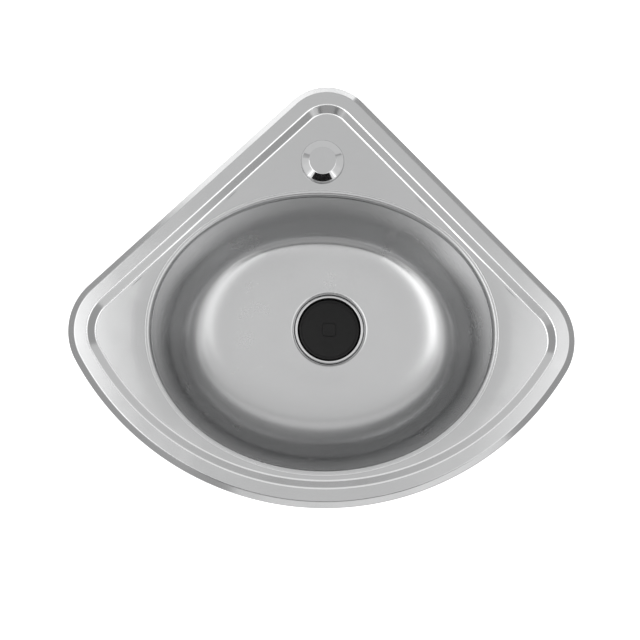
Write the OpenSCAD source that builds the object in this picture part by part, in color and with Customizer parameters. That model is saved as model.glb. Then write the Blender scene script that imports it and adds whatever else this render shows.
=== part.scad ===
// Corner kitchen sink: a pressed fan-shaped deck with an oval drawn bowl welded under it.
// The middle of the bowl's mouth lies on the Z axis and the worktop's top surface is at Z = 0.
// The right-angled back corner points along +Y and the curved front faces -Y.

/* [Outline] */
// Overall width across the two side corners
overall_w = 450; // [400:1:540]
// Angle between the two straight sides, in degrees
corner_angle = 91.2; // [90:0.1:93]
// Radius of the rim's crease at the back corner
apex_r = 39; // [32:1:46]
// Radius of the rim's crease at the side corners
corner_r = 49; // [42:1:56]
// Distance of the middles of those rounds in front of the bowl's middle
corner_fore = 3.5; // [0:0.5:8]
// Narrowest deck between the step and the bowl's mouth, along the sides
side_land = 4.75; // [4:0.1:8]
// Deck between the step and the mouth at the back corner, where the tap stands
back_land = 70.5; // [66:0.5:80]
// Width of rim, step and deck in front of the mouth
front_land = 29; // [28:0.5:36]

/* [Rim and deck] */
// Height of the rim over the worktop
rim_h = 6; // [4.5:0.5:9]
// Width of the sloping edge outside the rim's crease
bevel_w = 6; // [4:0.5:9]
// Height of the upright lip at the outer edge
lip_h = 1.5; // [1:0.1:2.5]
// Width of the flat rim
rim_flat_w = 11; // [8:0.5:16]
// Width of the step between the rim and the deck
step_w = 7.5; // [6:0.5:12]
// Drop of that step
step_drop = 5; // [3:0.5:5.5]
// Radius of the bends in the rim
bend_r = 1.8; // [1.2:0.1:2.2]
// Thickness of the deck's sheet
deck_sheet = 0.8; // [0.6:0.1:1.2]
// Width of the sealing strip under the rim
seal_w = 7; // [4:0.5:8]

/* [Bowl] */
// Width of the ledge inside the mouth
ledge_w = 1; // [0.5:0.5:3]
// Width of the bend from that ledge into the wall
mouth_bend_w = 4; // [2:0.5:6]
// Height of that bend
mouth_bend_h = 7; // [4:0.5:12]
// Lap of the bowl's flange under the deck
flange_lap = 4; // [3:0.5:5]
// Depth of the bowl, from the deck to the floor
bowl_depth = 140; // [110:1:180]
// Thickness of the bowl's sheet
bowl_sheet = 0.8; // [0.6:0.1:1.2]
// Width of the bowl's floor as a share of the mouth's width
floor_w_share = 0.6645; // [0.6:0.005:0.72]
// Depth of the floor, front to back, as a share of the mouth's depth
floor_d_share = 0.547; // [0.5:0.005:0.62]
// How far back the floor stands, as a share of the way from its middle place to the back wall
floor_back_share = 0.504; // [0:0.01:0.55]
// Height of the round between wall and floor
floor_bend_h = 50; // [30:1:65]
// Fall of the floor towards the drain
floor_fall = 2; // [0.5:0.5:5]

/* [Drain] */
// Place of the drain to the right of the floor's middle, as a share of the room there
drain_right_share = 0.1416; // [-0.3:0.01:0.3]
// Place of the drain in front of the floor's middle, as a share of the room there
drain_fore_share = 0.414; // [-0.2:0.01:0.5]
// Diameter of the flat seat in the pressed recess
seat_d = 63; // [58:0.5:66]
// Width of the sloping wall round that seat
recess_slope_w = 4; // [3:0.5:6]
// Depth of the recess
recess_depth = 9; // [7:0.5:12]
// Width of the seat round the hole for the waste
seat_w = 5.5; // [4.5:0.5:7]

/* [Waste] */
// Width of the recess that shows round the waste flange's lip
lip_gap = 2.25; // [1:0.25:3]
// Distance from the hole's edge to the inside of the strainer cup
cup_gap = 5; // [3:0.5:6]
// Depth of the strainer cup below the flange
cup_depth = 11; // [8:0.5:16]
// Thickness of the flange's metal
waste_sheet = 1; // [0.8:0.1:1.4]
// Outside diameter of the tail's thread
tail_d = 47.8; // [40:0.1:50]
// Length of the tail
tail_l = 26; // [18:1:40]
// Wall of the plastic body
body_wall = 3.5; // [2.5:0.1:5]
// Length of the plastic body above the tail
body_l = 26; // [24:1:40]
// Diameter of the central screw
waste_screw_d = 6; // [5:0.5:8]
// Gap between the plug and the flange's sloping dish
plug_gap = 0.3; // [0.2:0.1:2]
// Thickness of the plug's disc
plug_t = 2.4; // [1.6:0.1:4]
// Width of the square grip in the middle of the plug
grip_w = 13; // [8:0.5:18]
// Height of that grip
grip_h = 1.2; // [0.6:0.1:3]

/* [Tap hole] */
// Diameter of the tap hole
tap_hole_d = 35; // [32:0.5:36]
// Sideways place of the tap hole
tap_x = -3.5; // [-6:0.5:6]
// Distance of the tap hole's middle behind the mouth's edge
tap_gap = 26; // [25:0.5:28]
// Diameter of the cover in the tap hole
cap_d = 39; // [38:0.5:44]
// Height of that cover
cap_h = 6; // [4:0.5:10]
// Width of its rounded shoulder
cap_shoulder_w = 6.4; // [3:0.1:7]
// Diameter of the stud below the cover
cap_stud_d = 8; // [6:1:10]

/* [Fixing clips] */
// Thickness of the worktop that the clips reach under
worktop_t = 30; // [25:1:45]
// Reach of a clip from its stud to its toe
clip_reach = 30; // [24:1:34]
// Width of a clip
clip_w = 16; // [12:1:20]
// Thickness of a clip's strip
clip_t = 2; // [1.5:0.1:3]
// Diameter of the clip studs
stud_d = 6; // [5:1:8]
// Length of a welded rail
rail_l = 30; // [24:1:36]
// Width of a rail
rail_w = 14; // [12:1:16]
// Height of a rail
rail_h = 9; // [8:0.5:12]
// Place of the back clips along the straight side, as a share from the back corner's round
back_clip_share = 0.182; // [0.17:0.01:0.22]
// Distance of the back clips inside the rim's crease
back_clip_in = 28; // [27:1:32]
// Distance of the side clips inside the rim's crease
side_clip_in = 33; // [28:1:36]

/* [Hidden] */

$fn = 72;

// One overrun serves every cut, thread_gap every stud in its nut or bore, and seat_gap every piece
// that rests on another and comes off or swings.
overrun = 1;
thread_gap = 0.08;
seat_gap = 0.3;

// Points drawn along each round of the outline, the sections and the bowl.
apex_steps = 12;
corner_steps = 10;
front_steps = 26;
bend_steps = 3;
bowl_sides = 64;
mouth_sides = 96;
mouth_bend_steps = 4;
shoulder_steps = 6;
floor_bend_steps = 8;

// The outline: two corner arcs, a back corner arc that shares straight tangents with them, and a
// front arc that touches them from outside. side_normal is the direction out of the right side.
side_normal = corner_angle / 2;
corner_x = overall_w / 2 - bevel_w - corner_r;
corner_y = -corner_fore;
side_reach = corner_x * cos(side_normal) + corner_y * sin(side_normal) + corner_r;
apex_cy = (side_reach - apex_r) / sin(side_normal);

// The mouth: its half depth leaves the back land, and its half width the side land.
step_run = rim_flat_w + step_w;
mouth_deep = apex_cy + apex_r - step_run - back_land;
mouth_wide = sqrt(pow(side_reach - step_run - side_land, 2) - pow(mouth_deep * sin(side_normal), 2))
    / cos(side_normal);
mouth_w = 2 * mouth_wide;
mouth_d = 2 * mouth_deep;

front_reach = mouth_deep + front_land;
front_in = front_reach - bevel_w - corner_r;
front_cy = (pow(corner_x, 2) + pow(corner_y, 2) - pow(front_in, 2)) / (2 * (front_in + corner_y));
front_r = front_cy + front_reach - bevel_w;
front_end = atan2(corner_y - front_cy, corner_x);

// Heights, from the worktop's top surface.
deck_top = rim_h - step_drop;
deck_under = deck_top - deck_sheet;
floor_z = deck_top - bowl_depth;
floor_edge_z = floor_z + floor_fall;
seat_z = floor_z - recess_depth;
seat_under = seat_z - bowl_sheet;

// The bowl's wall has come this share of the way to the floor where it joins the round above it.
floor_bend_share = 0.15;
// Weight of a curve's handles that makes it lie close to a circle's quarter, and the two weights of
// the round above the floor, which runs out long and flat.
handle_share = 0.5523;
wall_handle_share = 0.5;
floor_handle_share = 0.75;
// The flat ring round the drain's recess, where the falling floor ends.
recess_rim = 5;
recess_round = 1.5;

// The floor and the drain in it.
recess_d = seat_d + 2 * recess_slope_w;
drain_hole_d = seat_d - 2 * seat_w;
floor_w = floor_w_share * mouth_w;
floor_d = floor_d_share * mouth_d;
floor_back = floor_back_share * (mouth_d - floor_d) / 2;
drain_x = drain_right_share * ((floor_w - recess_d) / 2 - recess_rim);
drain_back = floor_back - drain_fore_share * ((floor_d - recess_d) / 2 - recess_rim);

// The waste.
seal_t = 1;
washer_t = 2;
lip_drop = 0.3;
lip_flat = 1.8;
dish_gap = 0.5;
waste_lip_d = recess_d - 2 * lip_gap;
cup_d = drain_hole_d - 2 * cup_gap;
cup_top_z = seat_z + seal_t;
cup_floor_z = cup_top_z - cup_depth;
shelf_r = seat_d / 2 - dish_gap;
lip_z = floor_z - lip_drop;
body_top_z = seat_under - washer_t;
body_flange_lap = 2.5;
body_flange_r = seat_d / 2 + body_flange_lap;
body_flange_t = 4;
body_play = 1;
body_bore_r = cup_d / 2 + waste_sheet + body_play;
tail_top_z = body_top_z - body_l;
tail_end_z = tail_top_z - tail_l;
tail_bore_r = tail_d / 2 - body_wall;
screw_boss_r = 1.5 * waste_screw_d;
rib_t = 2.4;
screw_head_r = waste_screw_d;
screw_head_h = 2.6;
strainer_hole_d = 4.4;
strainer_ring_shares = [0.42, 0.76];
strainer_counts = [8, 14];
plug_z = cup_top_z + waste_sheet + seat_gap;
plug_crown = 0.5;
plug_r = shelf_r - waste_sheet - plug_gap;
skirt_play = 1.5;
plug_skirt_r = cup_d / 2 - skirt_play;
plug_skirt_t = 2;
plug_skirt_l = 5;

// The cover over the tap hole.
tap_back = mouth_d / 2 + tap_gap;
gasket_t = 1;
gasket_in = 0.4;
cap_z = deck_top + gasket_t;
cap_wall = 1.5;
cap_boss_wall = 2.5;
cap_boss_r = cap_stud_d / 2 + cap_boss_wall;
cap_rim_w = 4;
cap_lip_h = 1;
cap_stud_end = -26;
clamp_lap = 3;
clamp_rim = 3;
clamp_t = 1.5;
clamp_dish = 5;
wing_hub_wall = 3;
wing_hub_r = cap_stud_d / 2 + wing_hub_wall;
wing_hub_h = 7;
wing_span = 15;
wing_t = 2.6;
wing_rise = 5;

// The clips.
rail_t = 1;
slot_play = 1.2;
rail_lip = (rail_w - stud_d - slot_play) / 2;
stud_head_h = 2.2;
stud_gap = 0.05;
toe_h = 7;
heel_play = 4;
clip_tail = rail_w / 2 + heel_play;
clip_bend = 1.2;
tooth_count = 4;
tooth_h = 1.5;
nut_across = 10;
nut_h = 5;
stud_tail = 6;
rail_under = deck_under - rail_h;
toe_top_z = -worktop_t;
arm_top_z = toe_top_z - toe_h;
arm_z = arm_top_z - clip_t;
nut_top_z = arm_z - seat_gap;
stud_end_z = nut_top_z - nut_h - stud_tail;

// Sections of the deck, as points [distance outside the rim's crease, height].
step_in = -step_run;
step_out = -rim_flat_w;
deck_corners = [
    [step_in - bend_r, deck_top],
    [step_in, deck_top],
    [step_out, rim_h],
    [0, rim_h],
    [bevel_w, lip_h],
    [bevel_w, 0]
];

// Points on an arc, both ends included.
function arc(centre, r, from, to, steps) = [
    for (i = [0 : steps]) let (a = from + (to - from) * i / steps) centre + r * [cos(a), sin(a)]
];

// The sink's outline, counterclockwise, at a distance outside the rim's crease.
function outline(out) = concat(
    arc([corner_x, corner_y], corner_r + out, front_end, side_normal, corner_steps),
    arc([0, apex_cy], apex_r + out, side_normal, 180 - side_normal, apex_steps),
    arc([-corner_x, corner_y], corner_r + out, 180 - side_normal, 180 - front_end, corner_steps),
    [for (i = [1 : front_steps - 1])
        let (a = -180 - front_end + (180 + 2 * front_end) * i / front_steps)
        [0, front_cy] + (front_r + out) * [cos(a), sin(a)]]
);

function unit(v) = v / norm(v);

// A corner between two straight runs as a short round, which keeps clear of both runs' middles.
function round_corner(before, corner, after, r) =
    let (
        u = unit(before - corner),
        v = unit(after - corner),
        half = acos(min(1, max(-1, u * v))) / 2,
        reach = min(r / tan(half), 0.45 * norm(before - corner), 0.45 * norm(after - corner))
    )
    curve(corner + reach * u, corner, corner + reach * v, bend_steps);

// A round between two points whose tangents meet at a corner, as a cubic curve.
function curve(first, corner, last, steps, start_share = handle_share, end_share = handle_share) = [
    for (i = [0 : steps])
        let (
            t = i / steps,
            a = first + start_share * (corner - first),
            b = last + end_share * (corner - last)
        )
        pow(1 - t, 3) * first + 3 * pow(1 - t, 2) * t * a + 3 * (1 - t) * pow(t, 2) * b + pow(t, 3) * last
];

// A path of straight runs with every inner corner rounded.
function rounded(path, r) = [
    for (i = [0 : len(path) - 1])
        each (i == 0 || i == len(path) - 1
            ? [path[i]]
            : round_corner(path[i - 1], path[i], path[i + 1], r))
];

// The sideways direction of a path at one of its points, to the left of its run.
function side_way(path, i) =
    let (
        a = path[max(0, i - 1)],
        b = path[i],
        c = path[min(len(path) - 1, i + 1)],
        before = i == 0 ? unit(c - b) : unit(b - a),
        after = i == len(path) - 1 ? unit(b - a) : unit(c - b),
        both = unit(before + after)
    )
    [-both[1], both[0]] / max(0.5, both * before);

// The path moved sideways, to its left if the distance is positive.
function moved(path, distance) = [for (i = [0 : len(path) - 1]) path[i] + distance * side_way(path, i)];

function reversed(list) = [for (i = [len(list) - 1 : -1 : 0]) list[i]];

// A strip of sheet: the rounded path and its copy one thickness to the right.
function strip(path, r, t) = concat(rounded(path, r), reversed(moved(rounded(path, r), -t)));

// Triangles between two rings of a skin, clockwise from outside where a is the inner ring on top.
function band(a, b, n) = [
    for (i = [0 : n - 1])
        let (j = (i + 1) % n)
        each [[a + i, b + j, b + i], [a + i, a + j, b + j]]
];

// A plate whose edge follows the outline: one ring for each point of its section, and flat ends.
module outline_plate(section) {
    rings = [for (p = section) [for (q = outline(p[0])) [q[0], q[1], p[1]]]];
    n = len(rings[0]);
    last = len(section) - 1;
    polyhedron(
        points = [for (ring = rings) each ring],
        faces = concat(
            [[for (i = [n - 1 : -1 : 0]) i]],
            [for (k = [0 : last - 1]) each band(k * n, (k + 1) * n, n)],
            [[for (i = [0 : n - 1]) last * n + i]]
        )
    );
}

// A closed bar that follows the outline.
module outline_bar(section) {
    rings = [for (p = section) [for (q = outline(p[0])) [q[0], q[1], p[1]]]];
    n = len(rings[0]);
    m = len(section);
    polyhedron(
        points = [for (ring = rings) each ring],
        faces = [for (k = [0 : m - 1]) each band(k * n, (k + 1) % m * n, n)]
    );
}

module deck_panel() {
    color("silver")
        difference() {
            outline_plate(strip(deck_corners, bend_r, deck_sheet));
            translate([0, 0, deck_under - overrun])
                linear_extrude(deck_sheet + 2 * overrun)
                    polygon([
                        for (i = [0 : mouth_sides - 1])
                            let (a = 360 * i / mouth_sides)
                            [mouth_w / 2 * cos(a), mouth_d / 2 * sin(a)]
                    ]);
            translate([tap_x, tap_back, deck_under - overrun])
                cylinder(d = tap_hole_d, h = deck_sheet + 2 * overrun);
        }
}

// One level of the bowl: an oval given by [half width, half depth, middle across, middle back, height].
// The share counts the way from the end of the mouth's bend to the floor's edge, and grow is what is
// left of the bend's width.
function floor_level(share, grow, z) =
    let (
        wide = mouth_w / 2 - ledge_w - mouth_bend_w,
        deep = mouth_d / 2 - ledge_w - mouth_bend_w
    )
    [
        wide + grow + share * (floor_w / 2 - wide),
        deep + grow + share * (floor_d / 2 - deep),
        0,
        share * floor_back,
        z
    ];

function drain_level(share, r, z) = [
    floor_w / 2 + share * (r - floor_w / 2),
    floor_d / 2 + share * (r - floor_d / 2),
    share * drain_x,
    floor_back + share * (drain_back - floor_back),
    z
];

// The mouth's bend in the plane of width and height, then the straight run and the wide round in the
// plane of share and height.
mouth_bend_z = deck_under - mouth_bend_h;
floor_bend_z = floor_edge_z + floor_bend_h;
wall_slope_share = floor_bend_share / (mouth_bend_z - floor_bend_z);
mouth_bend = curve([mouth_bend_w, deck_under], [0, deck_under], [0, mouth_bend_z], mouth_bend_steps);
floor_corner = [floor_bend_share + wall_slope_share * floor_bend_h, floor_edge_z];
floor_bend = curve(
    [floor_bend_share, floor_bend_z],
    floor_corner,
    [1, floor_edge_z],
    floor_bend_steps,
    wall_handle_share,
    floor_handle_share
);
bowl_levels = concat(
    [[mouth_w / 2 + flange_lap, mouth_d / 2 + flange_lap, 0, 0, deck_under]],
    [for (p = mouth_bend) floor_level(0, p[0], p[1])],
    [for (p = floor_bend) floor_level(p[0], 0, p[1])],
    [
        drain_level(0.5, recess_d / 2 + recess_rim, floor_edge_z - 0.5 * floor_fall),
        drain_level(1, recess_d / 2 + recess_rim, floor_z),
        drain_level(1, recess_d / 2 + recess_round, floor_z),
        drain_level(1, recess_d / 2, floor_z - recess_round),
        drain_level(1, seat_d / 2, seat_z),
        drain_level(1, drain_hole_d / 2 - overrun, seat_z)
    ]
);

function level_point(level, a) = [level[2] + level[0] * cos(a), level[3] + level[1] * sin(a), level[4]];

// The sheet's direction off the bowl's inside, from the runs before and after a level.
function off_way(k, a) =
    let (
        here = bowl_levels[k],
        along = [-here[0] * sin(a), here[1] * cos(a), 0],
        p = level_point(here, a),
        before = k == 0 ? [0, 0, 0] : unit(p - level_point(bowl_levels[k - 1], a)),
        after = k == len(bowl_levels) - 1 ? [0, 0, 0] : unit(level_point(bowl_levels[k + 1], a) - p),
        both = unit(before + after),
        run = k == 0 ? after : before
    )
    unit(cross(both, along)) / max(0.5, both * run);

module bowl() {
    angles = [for (i = [0 : bowl_sides - 1]) 360 * i / bowl_sides];
    last = len(bowl_levels) - 1;
    inside = [for (k = [0 : last]) [for (a = angles) level_point(bowl_levels[k], a)]];
    outside = [
        for (k = [last : -1 : 0])
            [for (i = [0 : bowl_sides - 1]) inside[k][i] + bowl_sheet * off_way(k, angles[i])]
    ];
    rings = concat(inside, outside);
    m = len(rings);
    color("silver")
        difference() {
            polyhedron(
                points = [for (ring = rings) each ring],
                faces = [
                    for (k = [0 : m - 1]) each band((k + 1) % m * bowl_sides, k * bowl_sides, bowl_sides)
                ]
            );
            translate([drain_x, drain_back, seat_under - overrun])
                cylinder(d = drain_hole_d, h = bowl_sheet + 2 * overrun);
        }
}

// The foam strip fills the hollow of the rim from its underside to the worktop.
module rim_seal() {
    outer = -bend_r;
    color("dimgray")
        outline_bar([
            [outer - seal_w, 0],
            [outer - seal_w, rim_h - deck_sheet],
            [outer, rim_h - deck_sheet],
            [outer, 0]
        ]);
}

// Places of the clips on the right half: [distance in from the crease, outward direction, crease point].
side_way_on = [sin(side_normal), -cos(side_normal)];
side_l = norm([corner_x, corner_y - apex_cy] + (corner_r - apex_r) * [cos(side_normal), sin(side_normal)]);
back_crease = [0, apex_cy] + apex_r * [cos(side_normal), sin(side_normal)]
    + back_clip_share * side_l * side_way_on;
side_crease = [corner_x, corner_y] + corner_r * [cos(front_end), sin(front_end)];
back_clip = [back_crease - back_clip_in * [cos(side_normal), sin(side_normal)], side_normal];
side_clip = [side_crease - side_clip_in * [cos(front_end), sin(front_end)], front_end];

// The room between the tap hole's middle and the nearer back rail's corner.
tap_from_clip = [abs(tap_x), tap_back] - back_clip[0];
tap_inwards = -tap_from_clip * [cos(side_normal), sin(side_normal)];
tap_along = abs(tap_from_clip * side_way_on);
rail_room = norm([max(0, tap_inwards - rail_w / 2), max(0, tap_along - rail_l / 2)]);

// The clamp washer is as wide as the bowl's flange and the nearest clip rail allow.
clamp_r = min(
    tap_hole_d / 2 + clamp_lap,
    tap_gap - flange_lap - seat_gap,
    rail_room - seat_gap
);

module at_clip(clip) {
    translate([clip[0][0], clip[0][1], 0])
        rotate([0, 0, clip[1]])
            children();
}

module on_both_sides() {
    children();
    mirror([1, 0, 0])
        children();
}

module at_all_clips() {
    on_both_sides() {
        at_clip(back_clip)
            children();
        at_clip(side_clip)
            children();
    }
}

// Rails of folded sheet, welded under the deck, with their lips turned in below.
module clip_rails() {
    color("darkgray")
        at_all_clips()
            translate([0, rail_l / 2, rail_under])
                rotate([90, 0, 0])
                    linear_extrude(rail_l)
                        difference() {
                            translate([-rail_w / 2, 0])
                                square([rail_w, rail_h]);
                            translate([rail_t - rail_w / 2, rail_t])
                                square([rail_w - 2 * rail_t, rail_h - 2 * rail_t]);
                            translate([rail_lip - rail_w / 2, -overrun])
                                square([rail_w - 2 * rail_lip, rail_t + 2 * overrun]);
                        }
}

// Studs with a square head that lies on the rail's lips.
module clip_studs() {
    head_w = rail_w - 2 * rail_t - 2 * stud_gap;
    color("gainsboro")
        at_all_clips() {
            translate([-head_w / 2, -head_w / 2, rail_under + rail_t])
                cube([head_w, head_w, stud_head_h]);
            translate([0, 0, stud_end_z])
                cylinder(d = stud_d, h = rail_under + rail_t - stud_end_z);
        }
}

module clip_nuts() {
    color("gainsboro")
        at_all_clips()
            translate([0, 0, nut_top_z - nut_h])
                difference() {
                    cylinder(d = nut_across / cos(30), h = nut_h, $fn = 6);
                    translate([0, 0, -overrun])
                        cylinder(d = stud_d + 2 * thread_gap, h = nut_h + 2 * overrun);
                }
}

// A clip: a bent strip with a heel under the rail and a toothed toe under the worktop.
module clip() {
    heel_top = rail_under - seat_gap;
    pitch = clip_w / tooth_count;
    color("darkgray")
        difference() {
            translate([0, clip_w / 2, 0])
                rotate([90, 0, 0])
                    linear_extrude(clip_w)
                        polygon(strip(
                            [
                                [clip_reach, toe_top_z],
                                [clip_reach, arm_z],
                                [-clip_tail, arm_z],
                                [-clip_tail, heel_top]
                            ],
                            clip_bend + clip_t,
                            clip_t
                        ));
            translate([0, 0, arm_z - overrun])
                cylinder(d = stud_d + 2 * stud_gap, h = clip_t + 2 * overrun);
            for (i = [0 : tooth_count])
                translate([clip_reach - clip_t - overrun, (i - tooth_count / 2) * pitch, toe_top_z])
                    rotate([90, 0, 90])
                        linear_extrude(clip_t + 2 * overrun)
                            polygon([[-pitch / 2, overrun], [0, -tooth_h], [pitch / 2, overrun]]);
        }
}

module clip_back_right() {
    at_clip(back_clip)
        clip();
}

module clip_back_left() {
    mirror([1, 0, 0])
        clip_back_right();
}

module clip_side_right() {
    at_clip(side_clip)
        clip();
}

module clip_side_left() {
    mirror([1, 0, 0])
        clip_side_right();
}

// The cover: a rounded shoulder, a flat top, and a hollow underside with a threaded boss.
module tap_hole_cap() {
    r = cap_d / 2;
    hollow_r = r - cap_rim_w;
    under = cap_h - cap_wall;
    color("whitesmoke")
        translate([tap_x, tap_back, cap_z])
            rotate_extrude()
                polygon(concat(
                    [[hollow_r, 0], [r, 0]],
                    curve([r, cap_lip_h], [r, cap_h], [r - cap_shoulder_w, cap_h], shoulder_steps),
                    [
                        [0, cap_h],
                        [0, under - cap_wall / 2],
                        [cap_stud_d / 2 + thread_gap, under - cap_wall / 2],
                        [cap_stud_d / 2 + thread_gap, 0],
                        [cap_boss_r, 0],
                        [cap_boss_r, under],
                        [hollow_r - cap_wall, under],
                        [hollow_r, under - cap_wall]
                    ]
                ));
}

module cap_gasket() {
    color("black")
        translate([tap_x, tap_back, deck_top])
            difference() {
                cylinder(r = cap_d / 2 - gasket_in, h = gasket_t);
                translate([0, 0, -overrun])
                    cylinder(d = tap_hole_d - 2 * cap_rim_w, h = gasket_t + 2 * overrun);
            }
}

module cap_stud() {
    top = cap_z + cap_h - 2 * cap_wall;
    color("gainsboro")
        translate([tap_x, tap_back, cap_stud_end])
            cylinder(d = cap_stud_d, h = top - cap_stud_end);
}

// A dished washer that bears on the deck's underside, round the tap hole.
module cap_clamp_washer() {
    bore_r = cap_stud_d / 2 + 2 * thread_gap;
    hub_r = wing_hub_r + clamp_t;
    low = -clamp_dish;
    color("black")
        translate([tap_x, tap_back, deck_under])
            rotate_extrude()
                polygon([
                    [clamp_r - clamp_rim, 0],
                    [clamp_r, 0],
                    [clamp_r, -clamp_t],
                    [hub_r, low - clamp_t],
                    [bore_r, low - clamp_t],
                    [bore_r, low],
                    [hub_r, low]
                ]);
}

module cap_wing_nut() {
    top = deck_under - clamp_dish - clamp_t;
    color("gainsboro")
        translate([tap_x, tap_back, top - wing_hub_h])
            difference() {
                union() {
                    cylinder(r = wing_hub_r, h = wing_hub_h);
                    for (way = [0, 180])
                        rotate([90, 0, way])
                            translate([0, 0, -wing_t / 2])
                                linear_extrude(wing_t)
                                    polygon([
                                        [wing_hub_r / 2, 0],
                                        [wing_span - wing_t, -wing_rise],
                                        [wing_span, -wing_rise / 2],
                                        [wing_span, wing_rise / 2],
                                        [wing_hub_r / 2, wing_hub_h - wing_t / 2]
                                    ]);
                }
                translate([0, 0, -wing_rise - overrun])
                    cylinder(d = cap_stud_d + 2 * thread_gap, h = wing_hub_h + wing_rise + 2 * overrun);
            }
}

module at_drain(z) {
    translate([drain_x, drain_back, z])
        children();
}

// The pressed flange: a flat lip, a sloping dish with a seat for the plug, and the strainer cup.
module waste_flange() {
    lip_r = waste_lip_d / 2;
    seat = cup_top_z + waste_sheet;
    cup_r = cup_d / 2;
    floor_top = cup_floor_z + waste_sheet;
    bore_r = waste_screw_d / 2 + 2 * thread_gap;
    color("silver")
        difference() {
            at_drain(0)
                rotate_extrude()
                    polygon([
                        [bore_r, cup_floor_z],
                        [cup_r + waste_sheet, cup_floor_z],
                        [cup_r + waste_sheet, cup_top_z],
                        [shelf_r, cup_top_z],
                        [lip_r - lip_flat + waste_sheet, lip_z - waste_sheet],
                        [lip_r, lip_z - waste_sheet],
                        [lip_r, lip_z - waste_sheet / 3],
                        [lip_r - waste_sheet / 2, lip_z],
                        [lip_r - lip_flat, lip_z],
                        [shelf_r - waste_sheet, seat],
                        [cup_r + waste_sheet / 2, seat],
                        [cup_r, seat - waste_sheet / 2],
                        [cup_r, floor_top],
                        [bore_r, floor_top]
                    ]);
            for (k = [0, 1])
                for (i = [0 : strainer_counts[k] - 1])
                    at_drain(cup_floor_z - overrun)
                        rotate([0, 0, 360 * i / strainer_counts[k]])
                            translate([strainer_ring_shares[k] * cup_r, 0, 0])
                                cylinder(d = strainer_hole_d, h = waste_sheet + 2 * overrun);
        }
}

module flange_seal() {
    color("dimgray")
        at_drain(seat_z)
            difference() {
                cylinder(r = shelf_r, h = seal_t);
                translate([0, 0, -overrun])
                    cylinder(d = drain_hole_d, h = seal_t + 2 * overrun);
            }
}

// The plastic body under the bowl: a round flange, a barrel, a shoulder and the threaded tail,
// with a boss for the screw on four ribs.
module waste_body() {
    barrel_r = body_bore_r + body_wall;
    boss_l = cup_floor_z - tail_top_z;
    color("black")
        at_drain(0)
            difference() {
                union() {
                    rotate_extrude()
                        polygon([
                            [body_bore_r, body_top_z],
                            [body_flange_r, body_top_z],
                            [body_flange_r, body_top_z - body_flange_t],
                            [barrel_r, body_top_z - body_flange_t - body_wall],
                            [barrel_r, tail_top_z],
                            [tail_d / 2, tail_top_z - body_wall / 2],
                            [tail_d / 2, tail_end_z],
                            [tail_bore_r, tail_end_z],
                            [tail_bore_r, tail_top_z + body_wall / 2],
                            [body_bore_r, tail_top_z + 2 * body_wall]
                        ]);
                    translate([0, 0, tail_top_z])
                        cylinder(r = screw_boss_r, h = boss_l);
                    for (way = [45, 135])
                        rotate([0, 0, way])
                            translate([-body_bore_r - body_wall / 2, -rib_t / 2, tail_top_z])
                                cube([2 * body_bore_r + body_wall, rib_t, boss_l - screw_head_h]);
                }
                translate([0, 0, tail_top_z + rib_t])
                    cylinder(d = waste_screw_d + 2 * thread_gap, h = boss_l + overrun);
            }
}

module body_seal() {
    color("dimgray")
        at_drain(body_top_z)
            difference() {
                cylinder(r = body_flange_r, h = washer_t);
                translate([0, 0, -overrun])
                    cylinder(d = drain_hole_d, h = washer_t + 2 * overrun);
            }
}

module waste_screw() {
    head_z = cup_floor_z + waste_sheet;
    color("gainsboro")
        at_drain(0) {
            translate([0, 0, head_z])
                cylinder(r1 = screw_head_r, r2 = 0.8 * screw_head_r, h = screw_head_h);
            translate([0, 0, tail_top_z + 2 * rib_t])
                cylinder(d = waste_screw_d, h = head_z - tail_top_z - 2 * rib_t);
        }
}

// The plug: a slightly crowned disc with a skirt in the cup and a square grip with round corners.
module drain_plug() {
    corner = grip_w / 4;
    skirt_in = plug_skirt_r - plug_skirt_t;
    color("black")
        at_drain(plug_z) {
            rotate_extrude()
                polygon([
                    [0, 0],
                    [skirt_in, 0],
                    [skirt_in, -plug_skirt_l],
                    [plug_skirt_r, -plug_skirt_l],
                    [plug_skirt_r, 0],
                    [plug_r - plug_t / 4, 0],
                    [plug_r, plug_t / 4],
                    [plug_r, plug_t - plug_crown],
                    [plug_r - plug_crown, plug_t],
                    [0, plug_t + plug_crown]
                ]);
            translate([0, 0, plug_t / 2])
                linear_extrude(plug_t / 2 + plug_crown + grip_h)
                    union() {
                        square([grip_w, grip_w - 2 * corner], center = true);
                        square([grip_w - 2 * corner, grip_w], center = true);
                        for (x = [-1, 1])
                            for (y = [-1, 1])
                                translate([x * (grip_w / 2 - corner), y * (grip_w / 2 - corner)])
                                    circle(corner);
                    }
        }
}

deck_panel();
bowl();
rim_seal();
clip_rails();
clip_studs();
clip_nuts();
clip_back_right();
clip_back_left();
clip_side_right();
clip_side_left();
tap_hole_cap();
cap_gasket();
cap_stud();
cap_clamp_washer();
cap_wing_nut();
waste_flange();
flange_seal();
waste_body();
body_seal();
waste_screw();
drain_plug();
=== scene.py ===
"""Corner kitchen sink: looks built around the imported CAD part, in metres, in the same frame."""
from bisect import bisect_right
from math import acos, atan2, cos, degrees, exp, hypot, pi, radians, sin, sqrt, tan

import bmesh
import bpy
from mathutils import Matrix, Vector
from mathutils.geometry import delaunay_2d_cdt
from mathutils.kdtree import KDTree


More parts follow.
